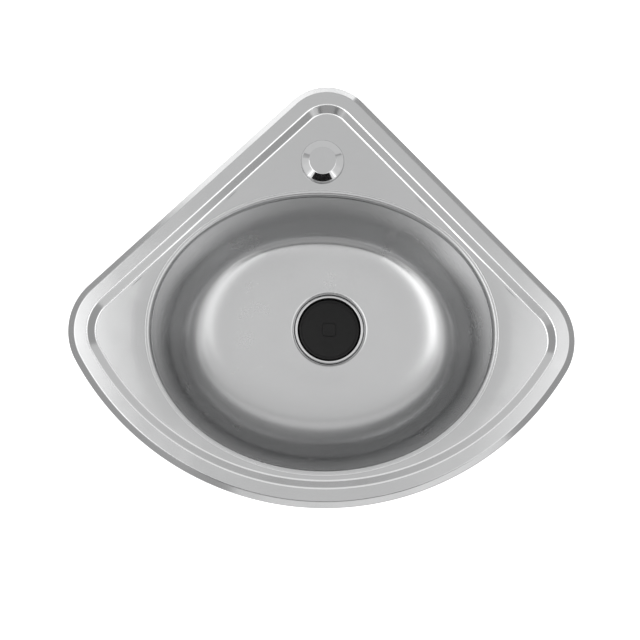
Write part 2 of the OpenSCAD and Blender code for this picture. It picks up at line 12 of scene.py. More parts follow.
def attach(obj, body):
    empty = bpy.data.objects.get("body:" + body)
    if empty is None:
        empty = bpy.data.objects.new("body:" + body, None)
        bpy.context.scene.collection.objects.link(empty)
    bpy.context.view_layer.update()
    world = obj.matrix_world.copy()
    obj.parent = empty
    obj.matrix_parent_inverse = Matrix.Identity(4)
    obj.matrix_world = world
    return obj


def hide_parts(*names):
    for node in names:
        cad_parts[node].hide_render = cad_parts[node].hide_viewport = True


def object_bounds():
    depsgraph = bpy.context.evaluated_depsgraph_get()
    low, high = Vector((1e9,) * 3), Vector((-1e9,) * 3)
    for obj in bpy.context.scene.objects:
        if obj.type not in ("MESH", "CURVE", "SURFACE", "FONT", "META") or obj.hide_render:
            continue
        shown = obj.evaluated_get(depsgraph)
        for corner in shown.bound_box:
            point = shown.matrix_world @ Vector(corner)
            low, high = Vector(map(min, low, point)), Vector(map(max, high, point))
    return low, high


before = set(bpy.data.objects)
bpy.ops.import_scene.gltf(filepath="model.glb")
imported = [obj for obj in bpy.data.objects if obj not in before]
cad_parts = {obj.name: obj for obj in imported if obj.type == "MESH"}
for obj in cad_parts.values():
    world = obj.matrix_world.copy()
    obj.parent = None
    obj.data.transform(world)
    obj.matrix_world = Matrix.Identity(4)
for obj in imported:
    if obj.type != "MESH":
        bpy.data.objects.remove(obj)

cad_low, cad_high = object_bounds()
MM = 0.001

# Values of the part, in millimetres
OVERALL_W, CORNER_ANGLE, APEX_R, CORNER_R, CORNER_FORE = 450.0, 91.2, 39.0, 49.0, 3.5
SIDE_LAND, BACK_LAND, FRONT_LAND = 4.75, 70.5, 29.0
RIM_H, BEVEL_W, LIP_H, RIM_FLAT_W = 6.0, 6.0, 1.5, 11.0
STEP_W, STEP_DROP, BEND_R, SHEET, SEAL_W = 7.5, 5.0, 1.8, 0.8, 7.0
LEDGE_W, FLANGE_LAP, BOWL_DEPTH = 1.0, 4.0, 140.0
MOUTH_BEND_W, MOUTH_BEND_H, FLOOR_BEND_H, FLOOR_FALL = 4.0, 7.0, 50.0, 2.0
FLOOR_SHARE, WALL_HANDLE, FLOOR_HANDLE = 0.15, 0.5, 0.75
DRAIN_X, DRAIN_Y, RECESS_R, SEAT_R, HOLE_R = 9.0, 17.0, 35.5, 31.5, 26.0
TAP_X, TAP_R = -3.5, 17.5

DECK_TOP = RIM_H - STEP_DROP
DECK_UNDER = DECK_TOP - SHEET
FLOOR_Z = DECK_TOP - BOWL_DEPTH
FLOOR_EDGE_Z = FLOOR_Z + FLOOR_FALL
SEAT_Z = FLOOR_Z - 9.0
SIDE_NORMAL = radians(CORNER_ANGLE / 2)
CORNER_X, CORNER_Y = OVERALL_W / 2 - BEVEL_W - CORNER_R, -CORNER_FORE
SIDE_REACH = CORNER_X * cos(SIDE_NORMAL) + CORNER_Y * sin(SIDE_NORMAL) + CORNER_R
APEX_CY = (SIDE_REACH - APEX_R) / sin(SIDE_NORMAL)
STEP_RUN = RIM_FLAT_W + STEP_W
MOUTH_B = APEX_CY + APEX_R - STEP_RUN - BACK_LAND
MOUTH_A = sqrt((SIDE_REACH - STEP_RUN - SIDE_LAND) ** 2
                    - (MOUTH_B * sin(SIDE_NORMAL)) ** 2) / cos(SIDE_NORMAL)
FRONT_REACH = MOUTH_B + FRONT_LAND
FRONT_IN = FRONT_REACH - BEVEL_W - CORNER_R
FRONT_CY = (CORNER_X ** 2 + CORNER_Y ** 2 - FRONT_IN ** 2) / (2 * (FRONT_IN + CORNER_Y))
FRONT_R = FRONT_CY + FRONT_REACH - BEVEL_W
FRONT_END = atan2(CORNER_Y - FRONT_CY, CORNER_X)
FLOOR_A, FLOOR_B, FLOOR_BACK, FLOOR_RIGHT = 106.5, 77.0, 24.5, 1.2
TAP_Y = MOUTH_B + 26.0
DRAIN, TAP = (DRAIN_X, DRAIN_Y), (TAP_X, TAP_Y)

# The waste
CUP_R, CUP_TOP, CUP_FLOOR = 21.0, SEAT_Z + 1.0, SEAT_Z - 10.0
SHELF_R, LIP_R, LIP_Z = 31.0, 33.25, FLOOR_Z - 0.3
BODY_TOP, BODY_FLANGE_R, BODY_BORE_R = SEAT_Z - 2.8, 34.0, 23.0
TAIL_D, TAIL_TOP, TAIL_END = 47.8, SEAT_Z - 28.8, SEAT_Z - 54.8
PLUG_R, PLUG_Z, GRIP_W = 29.7, SEAT_Z + 2.3, 13.0

# The cover over the tap hole
CAP_D, CAP_H, CAP_Z, CLAMP_R = 39.0, 6.0, DECK_TOP + 1.0, 20.5
CAP_STUD_R, CAP_STUD_END, WASHER_END = 4.0, -26.0, DECK_UNDER - 6.5

# The clips; a place is x, y and the direction of the clip's reach in degrees
BACK_CLIP_SHARE, BACK_CLIP_IN, SIDE_CLIP_IN = 0.182, 28.0, 33.0
SIDE_L = hypot(CORNER_X + (CORNER_R - APEX_R) * cos(SIDE_NORMAL),
               CORNER_Y - APEX_CY + (CORNER_R - APEX_R) * sin(SIDE_NORMAL))
BACK_IN, BACK_ALONG = APEX_R - BACK_CLIP_IN, BACK_CLIP_SHARE * SIDE_L
BACK_CLIP = (BACK_IN * cos(SIDE_NORMAL) + BACK_ALONG * sin(SIDE_NORMAL),
             APEX_CY + BACK_IN * sin(SIDE_NORMAL) - BACK_ALONG * cos(SIDE_NORMAL), CORNER_ANGLE / 2)
SIDE_CLIP = (CORNER_X + (CORNER_R - SIDE_CLIP_IN) * cos(FRONT_END),
             CORNER_Y + (CORNER_R - SIDE_CLIP_IN) * sin(FRONT_END), degrees(FRONT_END))
RAIL_L, RAIL_W, RAIL_H, RAIL_T, RAIL_LIP = 30.0, 14.0, 9.0, 1.0, 3.4
STUD_D, CLIP_W, CLIP_T, CLIP_REACH, CLIP_TAIL = 6.0, 16.0, 2.0, 30.0, 11.0
RAIL_UNDER, TOE_TOP, ARM_Z = DECK_UNDER - RAIL_H, -30.0, -39.0 - CLIP_T
NUT_TOP = ARM_Z - 0.3
STUD_END = NUT_TOP - 11.0

# The deck's finer shape: the edge of the flat land, the step's lean and bends, the openings' edges
LAND_EDGE, LAND_SUPPORT, STEP_LEAN, STEP_BEND_R, ROLL_R = 20.6, 21.0, 0.5, 2.4, 0.45
# The heights over the land, or under the rim, between which the step's bends get a lighter steel, a
# painted highlight
HIGHLIGHT_LOW, HIGHLIGHT_HIGH = 0.005, 0.42
# How deep the land sinks beside the mouth's ends, and how far from the mouth
DIP, DIP_W = 0.45, 14.0
# Distances of the rings of points round the mouth, and of the other points on the land
SUPPORT_RINGS, LAND_SPACING = (2.2, 3.8, 5.8, 8.2, 11.0, 14.0), 5.0

# The bowl's finer shape: the circle round the drain that the floor runs into, the rings of floor and wall
DRAIN_RING_R, FLOOR_RINGS, FALL_CURVE, WALL_RINGS, FLANGE_GAP = 41.0, 16, 0.35, 8, 0.02
# How squarely the oval's corners are filled, and over what spans of its half axis that starts and ends
SQUARENESS, SQUARE_START, SQUARE_END = 0.08, 40.0, 45.0
# How far the floor's edge rolls into the wall, up to what height, and the lengths of its two ends
EASE, EASE_TOP, EASE_LEAST, EASE_START, EASE_END = 13.5, 75.0, 0.3, 45.0, 28.0
# How much of it is left in the middle of the back, and how fast it gets there
EASE_BACK, EASE_POWER = 0.55, 1.2

# Points round the outline's corners, apex, sides and front, and round the openings and the bowl
CORNER_N, APEX_N, SIDE_N, FRONT_N = 36, 44, 22, 132
MOUTH_N, TAP_N, BOWL_N, WASTE_N, BODY_N, RING_N = 288, 72, 224, 160, 128, 120

# Screw threads: pitch and depth, then the shape of a groove, the slope of a tip and the play
FINE_THREAD, CAP_THREAD, TAIL_THREAD = (1.0, 0.45), (1.25, 0.6), (2.309, 1.25)
FLANK, CREST, TIP_SLOPE, RUNNING_GAP = 1.35, 0.15, 0.8, 0.08


# Mesh helpers
WELD = 0.00001
# Half the angle of a corner too flat to round, the share of a run that a round may use, the least mitre
STRAIGHT, RUN_SHARE, MITRE = radians(89.5), 0.47, 0.5
# In a filled plane: the room round a single point, then the rows' and the points' room by the spacing
EXTRA_GAP, ROW_SHARE, GAP_SHARE = 1.0, 0.866, 0.55


def add_object(name, data):
    obj = bpy.data.objects.new(name, data)
    bpy.context.scene.collection.objects.link(obj)
    return obj


def make_object(name, shape, material, replaces, body="sink", angle=35.0):
    """A smooth object from a shape in millimetres, with edges sharper than the angle kept sharp."""
    mesh = bpy.data.meshes.new(name)
    mesh.from_pydata([tuple(c * MM for c in v) for v in shape[0]], [], shape[1])
    mesh.validate(verbose=False)
    bm = bmesh.new()
    bm.from_mesh(mesh)
    bmesh.ops.remove_doubles(bm, verts=bm.verts, dist=WELD)
    bmesh.ops.recalc_face_normals(bm, faces=bm.faces)
    bm.to_mesh(mesh)
    bm.free()
    mesh.update()
    mesh.materials.append(material)
    for polygon in mesh.polygons:
        polygon.use_smooth = True
    mesh.set_sharp_from_angle(angle=radians(angle))
    obj = add_object(name, mesh)
    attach(obj, body)
    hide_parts(*replaces)
    return obj


def clamp(value):
    return max(0.0, min(1.0, value))


def ellipse(a, b, n, cx=0.0, cy=0.0):
    return [(cx + a * cos(2 * pi * i / n), cy + b * sin(2 * pi * i / n))
            for i in range(n)]


def at_height(loop, z):
    return [(x, y, z) for x, y in loop]


def circle(r, z, n):
    return at_height(ellipse(r, r, n), z)


def merge(*shapes):
    verts, faces = [], []
    for more_verts, more_faces in shapes:
        base = len(verts)
        verts += more_verts
        faces += [tuple(base + i for i in face) for face in more_faces]
    return verts, faces


def skin(rings, closed=False):
    """Quads between successive rings of points, and from the last to the first where closed."""
    n = len(rings[0])
    faces = []
    for k in range(len(rings) if closed else len(rings) - 1):
        low, high = k * n, (k + 1) % len(rings) * n
        faces += [(low + i, low + (i + 1) % n, high + (i + 1) % n, high + i) for i in range(n)]
    return [p for ring in rings for p in ring], faces


def tube(rings, cap_low=True, cap_high=True):
    """A skin over rings, closed with a point in the middle of each end."""
    n = len(rings[0])
    verts, faces = skin(rings)
    for base, wanted in ((0, cap_low), ((len(rings) - 1) * n, cap_high)):
        if wanted:
            verts.append((0.0, 0.0, verts[base][2]))
            faces += [(base + i, base + (i + 1) % n, len(verts) - 1) for i in range(n)]
    return verts, faces


def lathe(profile, n, centre=(0.0, 0.0), closed=True):
    """Revolves (r, z) points. A point on the axis becomes one vertex."""
    verts, rings = [], []
    for r, z in profile:
        loop = ellipse(r, r, n, *centre) if r > 1e-9 else [centre]
        rings.append(range(len(verts), len(verts) + len(loop)))
        verts += at_height(loop, z)
    if closed:
        rings.append(rings[0])
    faces = []
    for a, b in zip(rings, rings[1:]):
        if len(a) == 1 and len(b) == 1:
            continue
        for i in range(n):
            j = (i + 1) % n
            if len(a) == 1:
                faces.append((a[0], b[i], b[j]))
            elif len(b) == 1:
                faces.append((a[i], a[j], b[0]))
            else:
                faces.append((a[i], a[j], b[j], b[i]))
    return verts, faces


def round_path(path, radius, steps=6, closed=False):
    """Rounds the corners of a path of points with arcs of one radius, or of one for each point."""
    out = []
    n = len(path)
    for i, p in enumerate(path):
        r = radius[i] if isinstance(radius, list) else radius
        a, b, c = Vector(path[i - 1]), Vector(p), Vector(path[(i + 1) % n])
        u, v = a - b, c - b
        room_u, room_v = RUN_SHARE * u.length, RUN_SHARE * v.length
        u.normalize()
        v.normalize()
        half = acos(max(-1, min(1, u.dot(v)))) / 2
        if r <= 0 or half > STRAIGHT or (not closed and i in (0, n - 1)):
            out.append(tuple(p))
            continue
        reach = min(r / tan(half), room_u, room_v)
        r = reach * tan(half)
        start, end = b + u * reach, b + v * reach
        centre = b + (u + v).normalized() * (r / sin(half))
        first = atan2(start.y - centre.y, start.x - centre.x)
        last = atan2(end.y - centre.y, end.x - centre.x)
        turn = (last - first + pi) % (2 * pi) - pi
        for k in range(steps + 1):
            t = first + turn * k / steps
            out.append((centre.x + r * cos(t), centre.y + r * sin(t)))
    return out


def offset_path(path, distance):
    """The path moved to its left by a distance."""
    out = []
    n = len(path)
    for i in range(n):
        a, b, c = Vector(path[max(0, i - 1)]), Vector(path[i]), Vector(path[min(n - 1, i + 1)])
        before = (b - a).normalized() if i > 0 else (c - b).normalized()
        after = (c - b).normalized() if i < n - 1 else before
        both = (before + after).normalized()
        side = Vector((-both.y, both.x)) / max(MITRE, both.dot(before))
        out.append((b.x + distance * side.x, b.y + distance * side.y))
    return out


def supported(path, near=0.35, least=1.6):
    """Adds points close to both ends of each long run, so that smooth shading stays in the bends."""
    out = [path[0]]
    for a, b in zip(path, path[1:]):
        length = hypot(b[0] - a[0], b[1] - a[1])
        if length > least:
            for share in (near / length, 1 - near / length):
                out.append((a[0] + (b[0] - a[0]) * share, a[1] + (b[1] - a[1]) * share))
        out.append(b)
    return out


def inside(point, polygon):
    x, y = point
    hit = False
    n = len(polygon)
    for i in range(n):
        x0, y0 = polygon[i]
        x1, y1 = polygon[(i + 1) % n]
        if (y0 > y) != (y1 > y) and x < x0 + (y - y0) * (x1 - x0) / (y1 - y0):
            hit = not hit
    return hit


def between(point, outer, holes):
    return inside(point, outer) and not any(inside(point, hole) for hole in holes)


def search_tree(points):
    tree = KDTree(len(points))
    for i, p in enumerate(points):
        tree.insert((p.x, p.y, 0), i)
    tree.balance()
    return tree


def fill_plane(outer_rings, hole_rings, spacing, lines=(), extra=()):
    """Triangles between an outer loop and holes, with support loops and a grid of points between.

    Outer_rings and each entry of hole_rings are lists of loops, the first of them the boundary.
    Lines are x values that get rows of points, and extra holds single points."""
    points, edges = [], []
    for loop in outer_rings + [loop for hole in hole_rings for loop in hole]:
        base = len(points)
        points += [Vector(p) for p in loop]
        edges += [(base + i, base + (i + 1) % len(loop)) for i in range(len(loop))]
    outer = outer_rings[-1]
    holes = [hole[-1] for hole in hole_rings]
    (low_x, high_x), (low_y, high_y) = [(min(values), max(values)) for values in zip(*outer)]
    for x in lines:
        count = max(2, int((high_y - low_y) / spacing))
        for i in range(1, count):
            y = low_y + (high_y - low_y) * i / count
            if between((x, y), outer, holes):
                points.append(Vector((x, y)))
    fixed = [Vector(p) for loop in [outer] + holes for p in loop]
    tree = search_tree(fixed)
    for p in extra:
        if inside(p, outer) and tree.find((p[0], p[1], 0))[2] > EXTRA_GAP:
            points.append(Vector(p))
            fixed.append(Vector(p))
    tree = search_tree(fixed)
    row = 0
    y = low_y
    while y < high_y:
        x = low_x + (spacing / 2 if row % 2 else 0)
        while x < high_x:
            if between((x, y), outer, holes) and tree.find((x, y, 0))[2] > spacing * GAP_SHARE:
                points.append(Vector((x, y)))
            x += spacing
        y += spacing * ROW_SHARE
        row += 1
    verts, _, triangles, _, _, _ = delaunay_2d_cdt(points, edges, [], 0, 1e-7)
    holes = [hole[0] for hole in hole_rings]
    kept = []
    for t in triangles:
        middle = ((verts[t[0]].x + verts[t[1]].x + verts[t[2]].x) / 3,
                  (verts[t[0]].y + verts[t[1]].y + verts[t[2]].y) / 3)
        if between(middle, outer_rings[0], holes):
            kept.append(tuple(t))
    return [(v.x, v.y) for v in verts], kept


def plates(flat, triangles, heights):
    """The same flat triangles at each of the heights."""
    return merge(*[(at_height(flat, z), triangles) for z in heights])


# Materials
NOISE_LOW, NOISE_HIGH = 0.3, 0.7
# Noises: scale, detail, roughness and distortion
SMUDGE, FINE, UNEVEN = (22.0, 4.0, 0.55, 0.4), (140.0, 3.0, 0.6), (9.0, 1.0, 0.4)
DUST, FOAM_DUST, DULL_PATCH = (60.0, 5.0, 0.65, 0.5), (45.0, 4.0, 0.6), (75.0, 5.0, 0.6, 0.6)


class Nodes:
    """A short way to write a node tree."""

    def __init__(self, name):
        self.mat = bpy.data.materials.new(name)
        self.mat.use_nodes = True
        self.tree = self.mat.node_tree
        self.shader = self.tree.nodes["Principled BSDF"]
        self.coords = self.add("ShaderNodeTexCoord")

    def add(self, kind, **values):
        node = self.tree.nodes.new(kind)
        for key, value in values.items():
            node.inputs[key].default_value = value
        return node

    def link(self, a, b):
        self.tree.links.new(a, b)

    def mapped(self, scale=(1, 1, 1)):
        m = self.add("ShaderNodeMapping", Scale=scale)
        self.link(self.coords.outputs["Object"], m.inputs["Vector"])
        return m.outputs["Vector"]

    def noise(self, vector, scale, detail, rough, distortion=0.0):
        n = self.add("ShaderNodeTexNoise", Scale=scale, Detail=detail, Roughness=rough,
                     Distortion=distortion)
        self.link(vector, n.inputs["Vector"])
        return n.outputs["Fac"]

    def cells(self, scale):
        n = self.add("ShaderNodeTexVoronoi", Scale=scale)
        self.link(self.mapped(), n.inputs["Vector"])
        return n.outputs["Distance"]

    def spread(self, value, low, high):
        m = self.add("ShaderNodeMapRange")
        limits = {"From Min": NOISE_LOW, "From Max": NOISE_HIGH, "To Min": low, "To Max": high}
        for key, limit in limits.items():
            m.inputs[key].default_value = limit
        self.link(value, m.inputs["Value"])
        return m.outputs["Result"]

    def math(self, operation, a, b):
        m = self.add("ShaderNodeMath")
        m.operation = operation
        for i, v in enumerate((a, b)):
            if isinstance(v, (int, float)):
                m.inputs[i].default_value = v
            else:
                self.link(v, m.inputs[i])
        return m.outputs[0]

    def tone(self, fac, dark, light):
        r = self.add("ShaderNodeValToRGB")
        r.color_ramp.elements[0].position = NOISE_LOW
        r.color_ramp.elements[1].position = NOISE_HIGH
        r.color_ramp.elements[0].color = (*dark, 1)
        r.color_ramp.elements[1].color = (*light, 1)
        self.link(fac, r.inputs["Fac"])
        return r.outputs["Color"]

    def bump(self, height, strength, distance, normal=None):
        b = self.add("ShaderNodeBump", Strength=strength, Distance=distance)
        self.link(height, b.inputs["Height"])
        if normal is not None:
            self.link(normal, b.inputs["Normal"])
        return b.outputs["Normal"]

    def finish(self, colour, rough, normal, metallic=0.0):
        self.link(colour, self.shader.inputs["Base Color"])
        self.link(rough, self.shader.inputs["Roughness"])
        self.link(normal, self.shader.inputs["Normal"])
        self.shader.inputs["Metallic"].default_value = metallic
        return self.mat


def steel(name, base, rough, grain=(60.0, 1800.0, 1800.0), grain_bump=0.005, wave=0.25, spread=0.03):
    """Satin stainless: stretched grain, soft smudges in the roughness and a faint unevenness."""
    n = Nodes(name)
    contrast, streak_spread, streak_share = 0.012, 0.004, 0.6
    streak = n.noise(n.mapped(grain), 1.0, 2.0, 0.6)
    smudge = n.noise(n.mapped(), *SMUDGE)
    fine = n.noise(n.mapped(), *FINE)
    rough_mix = n.math("ADD", n.spread(smudge, rough - spread, rough + spread),
                       n.spread(streak, -streak_spread, streak_spread))
    tint = n.math("ADD", n.math("MULTIPLY", streak, streak_share),
                  n.math("MULTIPLY", fine, 1 - streak_share))
    dark = tuple(c * (1 - contrast) for c in base)
    light = tuple(min(1, c * (1 + contrast)) for c in base)
    uneven = n.bump(n.noise(n.mapped(), *UNEVEN), wave, 0.0006)
    normal = n.bump(streak, grain_bump, 0.00004, uneven)
    return n.finish(n.tone(tint, dark, light), rough_mix, normal, 1.0)


def plastic(name, dark, light, rough, bump=0.15, scale=1600.0, specular=0.5):
    """Black plastic or rubber: a fine moulded grain, and dust in its colour and roughness."""
    n = Nodes(name)
    grain = n.noise(n.mapped(), scale, 2.0, 0.5)
    dust = n.noise(n.mapped(), *DUST)
    n.shader.inputs["Specular IOR Level"].default_value = specular
    return n.finish(n.tone(dust, dark, light), n.spread(dust, rough - 0.06, rough + 0.08),
                    n.bump(grain, bump, 0.00005))


def foam(name, dark, light):
    n = Nodes(name)
    dust = n.noise(n.mapped(), *FOAM_DUST)
    return n.finish(n.tone(dust, dark, light), n.spread(dust, 0.82, 0.96),
                    n.bump(n.cells(1500.0), 0.5, 0.0003))


def zinc(name, base, rough):
    """Zinc plating: a faint spangle and dull patches."""
    n = Nodes(name)
    patch = n.noise(n.mapped(), *DULL_PATCH)
    mix = n.math("ADD", n.math("MULTIPLY", n.cells(420.0), 0.35), n.math("MULTIPLY", patch, 0.7))
    dark = (base[0] * 0.82, base[1] * 0.83, base[2] * 0.85)
    light = (base[0] * 1.06, base[1] * 1.06, base[2] * 1.05)
    return n.finish(n.tone(mix, dark, light), n.spread(patch, rough - 0.07, rough + 0.1),
                    n.bump(patch, 0.08, 0.0002), 1.0)


SATIN = steel("deck_satin_steel", (0.6, 0.602, 0.605), 0.155)
DRAWN = steel("bowl_drawn_steel", (0.6, 0.602, 0.605), 0.26, grain=(300.0, 300.0, 900.0),
              grain_bump=0.002, wave=0.1, spread=0.015)
# a lighter copy of the deck's steel for the faces of the bends: a painted highlight
BEND_HIGHLIGHT_STEEL = steel("painted_bend_highlight", (0.93, 0.932, 0.935), 0.2)
WASTE = steel("waste_bright_steel", (0.74, 0.74, 0.743), 0.12, grain=(900.0, 900.0, 900.0))
CHROME = steel("cap_chrome", (0.61, 0.612, 0.616), 0.08, grain=(200.0, 200.0, 200.0), wave=0.05,
               spread=0.015)
ZINC = zinc("zinc_strip", (0.56, 0.57, 0.585), 0.38)
BOLT = zinc("zinc_fastener", (0.64, 0.64, 0.62), 0.3)
FOAM = foam("foam_strip", (0.03, 0.03, 0.032), (0.055, 0.055, 0.058))
RUBBER = plastic("black_rubber", (0.018, 0.018, 0.018), (0.035, 0.035, 0.035), 0.62, 0.3, 2200.0, 0.35)
PLASTIC = plastic("black_body_plastic", (0.02, 0.02, 0.022), (0.035, 0.035, 0.038), 0.42)
PLUG = plastic("plug_black", (0.007, 0.007, 0.007), (0.011, 0.011, 0.011), 0.36, 0.08, 2600.0, 0.25)


# Deck
def outline(out):
    """The loop that lies outside the rim's outer crease by a distance."""
    points = []

    def arc(cx, cy, r, start, end, n, skip_ends=False):
        for i in range(1 if skip_ends else 0, n if skip_ends else n + 1):
            a = start + (end - start) * i / n
            points.append((cx + r * cos(a), cy + r * sin(a)))

    def side(x0, y0, x1, y1):
        for i in range(1, SIDE_N):
            t = i / SIDE_N
            points.append((x0 + (x1 - x0) * t, y0 + (y1 - y0) * t))

    right = (CORNER_X + (CORNER_R + out) * cos(SIDE_NORMAL),
             CORNER_Y + (CORNER_R + out) * sin(SIDE_NORMAL))
    back = ((APEX_R + out) * cos(SIDE_NORMAL), APEX_CY + (APEX_R + out) * sin(SIDE_NORMAL))
    arc(CORNER_X, CORNER_Y, CORNER_R + out, FRONT_END, SIDE_NORMAL, CORNER_N)
    side(*right, *back)
    arc(0, APEX_CY, APEX_R + out, SIDE_NORMAL, pi - SIDE_NORMAL, APEX_N)
    side(-back[0], back[1], -right[0], right[1])
    arc(-CORNER_X, CORNER_Y, CORNER_R + out, pi - SIDE_NORMAL, pi - FRONT_END, CORNER_N)
    arc(0, FRONT_CY, FRONT_R + out, -pi - FRONT_END, FRONT_END, FRONT_N, True)
    return points


def outline_skin(section, closed=False):
    return skin([at_height(outline(out), z) for out, z in section], closed)


def dip(x, y):
    """How far the pressed land sinks beside the mouth: most at its two ends, least front and back."""
    k = hypot(x / MOUTH_A, y / MOUTH_B)
    away = (k - 1) / (hypot(x / MOUTH_A ** 2, y / MOUTH_B ** 2) / k)
    ends = (x / MOUTH_A / k) ** 2
    return DIP * ends * max(0.0, 1.0 - max(0.0, away) / DIP_W) ** 2


def deck():
    """The pressed deck, and the numbers of its faces that get the lighter steel, a painted highlight."""
    top = round_path([(-LAND_EDGE, DECK_TOP), (STEP_LEAN - STEP_RUN, DECK_TOP),
                      (-RIM_FLAT_W - STEP_LEAN, RIM_H), (0.0, RIM_H), (BEVEL_W, LIP_H), (BEVEL_W, 0.0)],
                     [0, STEP_BEND_R, STEP_BEND_R, BEND_R, BEND_R, 0])
    under = supported(offset_path(top, -SHEET))
    section = under + supported(top)[::-1]
    shape = outline_skin(section)
    count = len(outline(0.0))
    highlighted = []
    for k in range(len(under), len(section) - 1):
        out, z = [(section[k][i] + section[k + 1][i]) / 2 for i in (0, 1)]
        if out < -RIM_FLAT_W / 2 and HIGHLIGHT_LOW < min(z - DECK_TOP, RIM_H - z) < HIGHLIGHT_HIGH:
            highlighted += range(k * count, (k + 1) * count)

    # the mouth's edge comes next, and its first three rings of faces get the painted highlight
    highlighted += range(len(shape[1]), len(shape[1]) + 3 * MOUTH_N)
    edge = [(ROLL_R, DECK_TOP), (0.22, DECK_TOP - 0.06), (0.06, DECK_TOP - 0.22),
            (0.0, DECK_TOP - ROLL_R), (0.0, DECK_UNDER + 0.1), (0.1, DECK_UNDER), (ROLL_R, DECK_UNDER)]
    openings = []
    for a, b, n, cx, cy in ((MOUTH_A, MOUTH_B, MOUTH_N, 0.0, 0.0), (TAP_R, TAP_R, TAP_N, *TAP)):
        rings = [at_height(ellipse(a + grow, b + grow, n, cx, cy), z) for grow, z in edge]
        shape = merge(shape, skin(rings))
        openings.append([ellipse(a + grow, b + grow, n, cx, cy) for grow in (ROLL_R, 2 * ROLL_R)])

    # both flat skins of the land
    near = [p for grow in SUPPORT_RINGS for p in ellipse(MOUTH_A + grow, MOUTH_B + grow, MOUTH_N)]
    outer = [outline(-LAND_EDGE), outline(-LAND_SUPPORT)]
    flat, triangles = fill_plane(outer, openings, LAND_SPACING, extra=near)
    verts, faces = merge(shape, plates(flat, triangles, (DECK_TOP, DECK_UNDER)))
    verts = [(x, y, z - dip(x, y) if z < DECK_TOP + 0.01 else z) for x, y, z in verts]
    return (verts, faces), highlighted


deck_shape, highlight_faces = deck()
deck_object = make_object("deck_pressed_panel", deck_shape, SATIN, ["deck_panel"])
# the faces of the bends take the lighter steel, a painted highlight
deck_object.data.materials.append(BEND_HIGHLIGHT_STEEL)
for number in highlight_faces:
    deck_object.data.polygons[number].material_index = 1


# Bowl
def curve(p0, corner, p1, steps, k0, k1):
    """Points on a cubic curve whose handles reach towards a corner by the shares k0 and k1."""
    a = (p0[0] + k0 * (corner[0] - p0[0]), p0[1] + k0 * (corner[1] - p0[1]))
    b = (p1[0] + k1 * (corner[0] - p1[0]), p1[1] + k1 * (corner[1] - p1[1]))
    out = []
    for i in range(steps + 1):
        t = i / steps
        weights = ((1 - t) ** 3, 3 * (1 - t) ** 2 * t, 3 * (1 - t) * t * t, t ** 3)
        out.append([sum(w * p[axis] for w, p in zip(weights, (p0, a, b, p1))) for axis in (0, 1)])
    return out


def bowl_levels():
    """The ovals of the bowl's inner skin from its flange to its hole: half axes, middle and height."""
    wide, deep = MOUTH_A - LEDGE_W - MOUTH_BEND_W, MOUTH_B - LEDGE_W - MOUTH_BEND_W
    mouth_z = DECK_UNDER - MOUTH_BEND_H
    bend_z = FLOOR_EDGE_Z + FLOOR_BEND_H
    slope = FLOOR_SHARE / (mouth_z - bend_z)
    under = DECK_UNDER - FLANGE_GAP
    levels = [(MOUTH_A + grow, MOUTH_B + grow, 0, 0, under) for grow in (FLANGE_LAP, 2.5, 1.0, 0.3)]
    for grow, z in curve((MOUTH_BEND_W, under), (0.0, under - 0.15), (0, mouth_z), 20, 0.66, 0.45):
        levels.append((wide + grow, deep + grow, 0, 0, z))
    path = [(FLOOR_SHARE * i / WALL_RINGS, mouth_z + (bend_z - mouth_z) * i / WALL_RINGS)
            for i in range(1, WALL_RINGS)]
    path += curve((FLOOR_SHARE, bend_z), (FLOOR_SHARE + slope * FLOOR_BEND_H, FLOOR_EDGE_Z),
                  (1, FLOOR_EDGE_Z), 36, WALL_HANDLE, FLOOR_HANDLE)
    for share, z in path:
        levels.append((wide + share * (FLOOR_A - wide), deep + share * (FLOOR_B - deep),
                       share * FLOOR_RIGHT, share * FLOOR_BACK, z))
    for i in range(1, FLOOR_RINGS + 1):
        t = i / FLOOR_RINGS
        fall = FLOOR_FALL * (t * t * (3 - 2 * t) * FALL_CURVE + t * (1 - FALL_CURVE))
        levels.append((FLOOR_A + t * (DRAIN_RING_R - FLOOR_A), FLOOR_B + t * (DRAIN_RING_R - FLOOR_B),
                       FLOOR_RIGHT + t * (DRAIN_X - FLOOR_RIGHT),
                       FLOOR_BACK + t * (DRAIN_Y - FLOOR_BACK), FLOOR_EDGE_Z - fall))
    recess = round_path([(DRAIN_RING_R, FLOOR_Z), (RECESS_R + 0.1, FLOOR_Z), (SEAT_R, SEAT_Z),
                         (HOLE_R - 0.02, SEAT_Z)], [0, 3.8, 1.2, 0], 8)
    levels += [(r, r, *DRAIN, z) for r, z in supported(recess[1:])]
    return levels


def ease(rings):
    """Rolls the floor's edge gently into the wall, by averaging each column of points along its length.

    It does so fully at the front and at the two ends, and least in the middle of the back."""
    first = next(k for k, ring in enumerate(rings) if ring[0].z < FLOOR_EDGE_Z + EASE_TOP)
    last = max(k for k, ring in enumerate(rings)
               if ring[0].z < FLOOR_EDGE_Z + 0.01 and ring[0].x > DRAIN_X + DRAIN_RING_R + 0.5)
    moved = {}
    for i in range(BOWL_N):
        column = [rings[k][i] for k in range(first, last + 1)]
        along = [0.0]
        for p, q in zip(column, column[1:]):
            along.append(along[-1] + (q - p).length)
        turn = 2 * pi * i / BOWL_N
        back = max(abs(cos(turn)) ** EASE_POWER, EASE_BACK * sin(turn))
        width = EASE * (back if sin(turn) > 0 else 1.0)
        for k in range(len(column)):
            hold = min(1.0, along[k] / EASE_START, (along[-1] - along[k]) / EASE_END)
            spread = width * hold * hold * (3 - 2 * hold)
            if spread < EASE_LEAST:
                continue
            total, weight = Vector((0, 0, 0)), 0.0
            for j in range(len(column)):
                gap = along[j] - along[k]
                if abs(gap) < 3 * spread:
                    before, after = along[max(0, j - 1)], along[min(len(along) - 1, j + 1)]
                    share = exp(-0.5 * (gap / spread) ** 2) * (after - before)
                    total += column[j] * share
                    weight += share
            moved[first + k, i] = total / weight
    for (k, i), p in moved.items():
        rings[k][i] = p


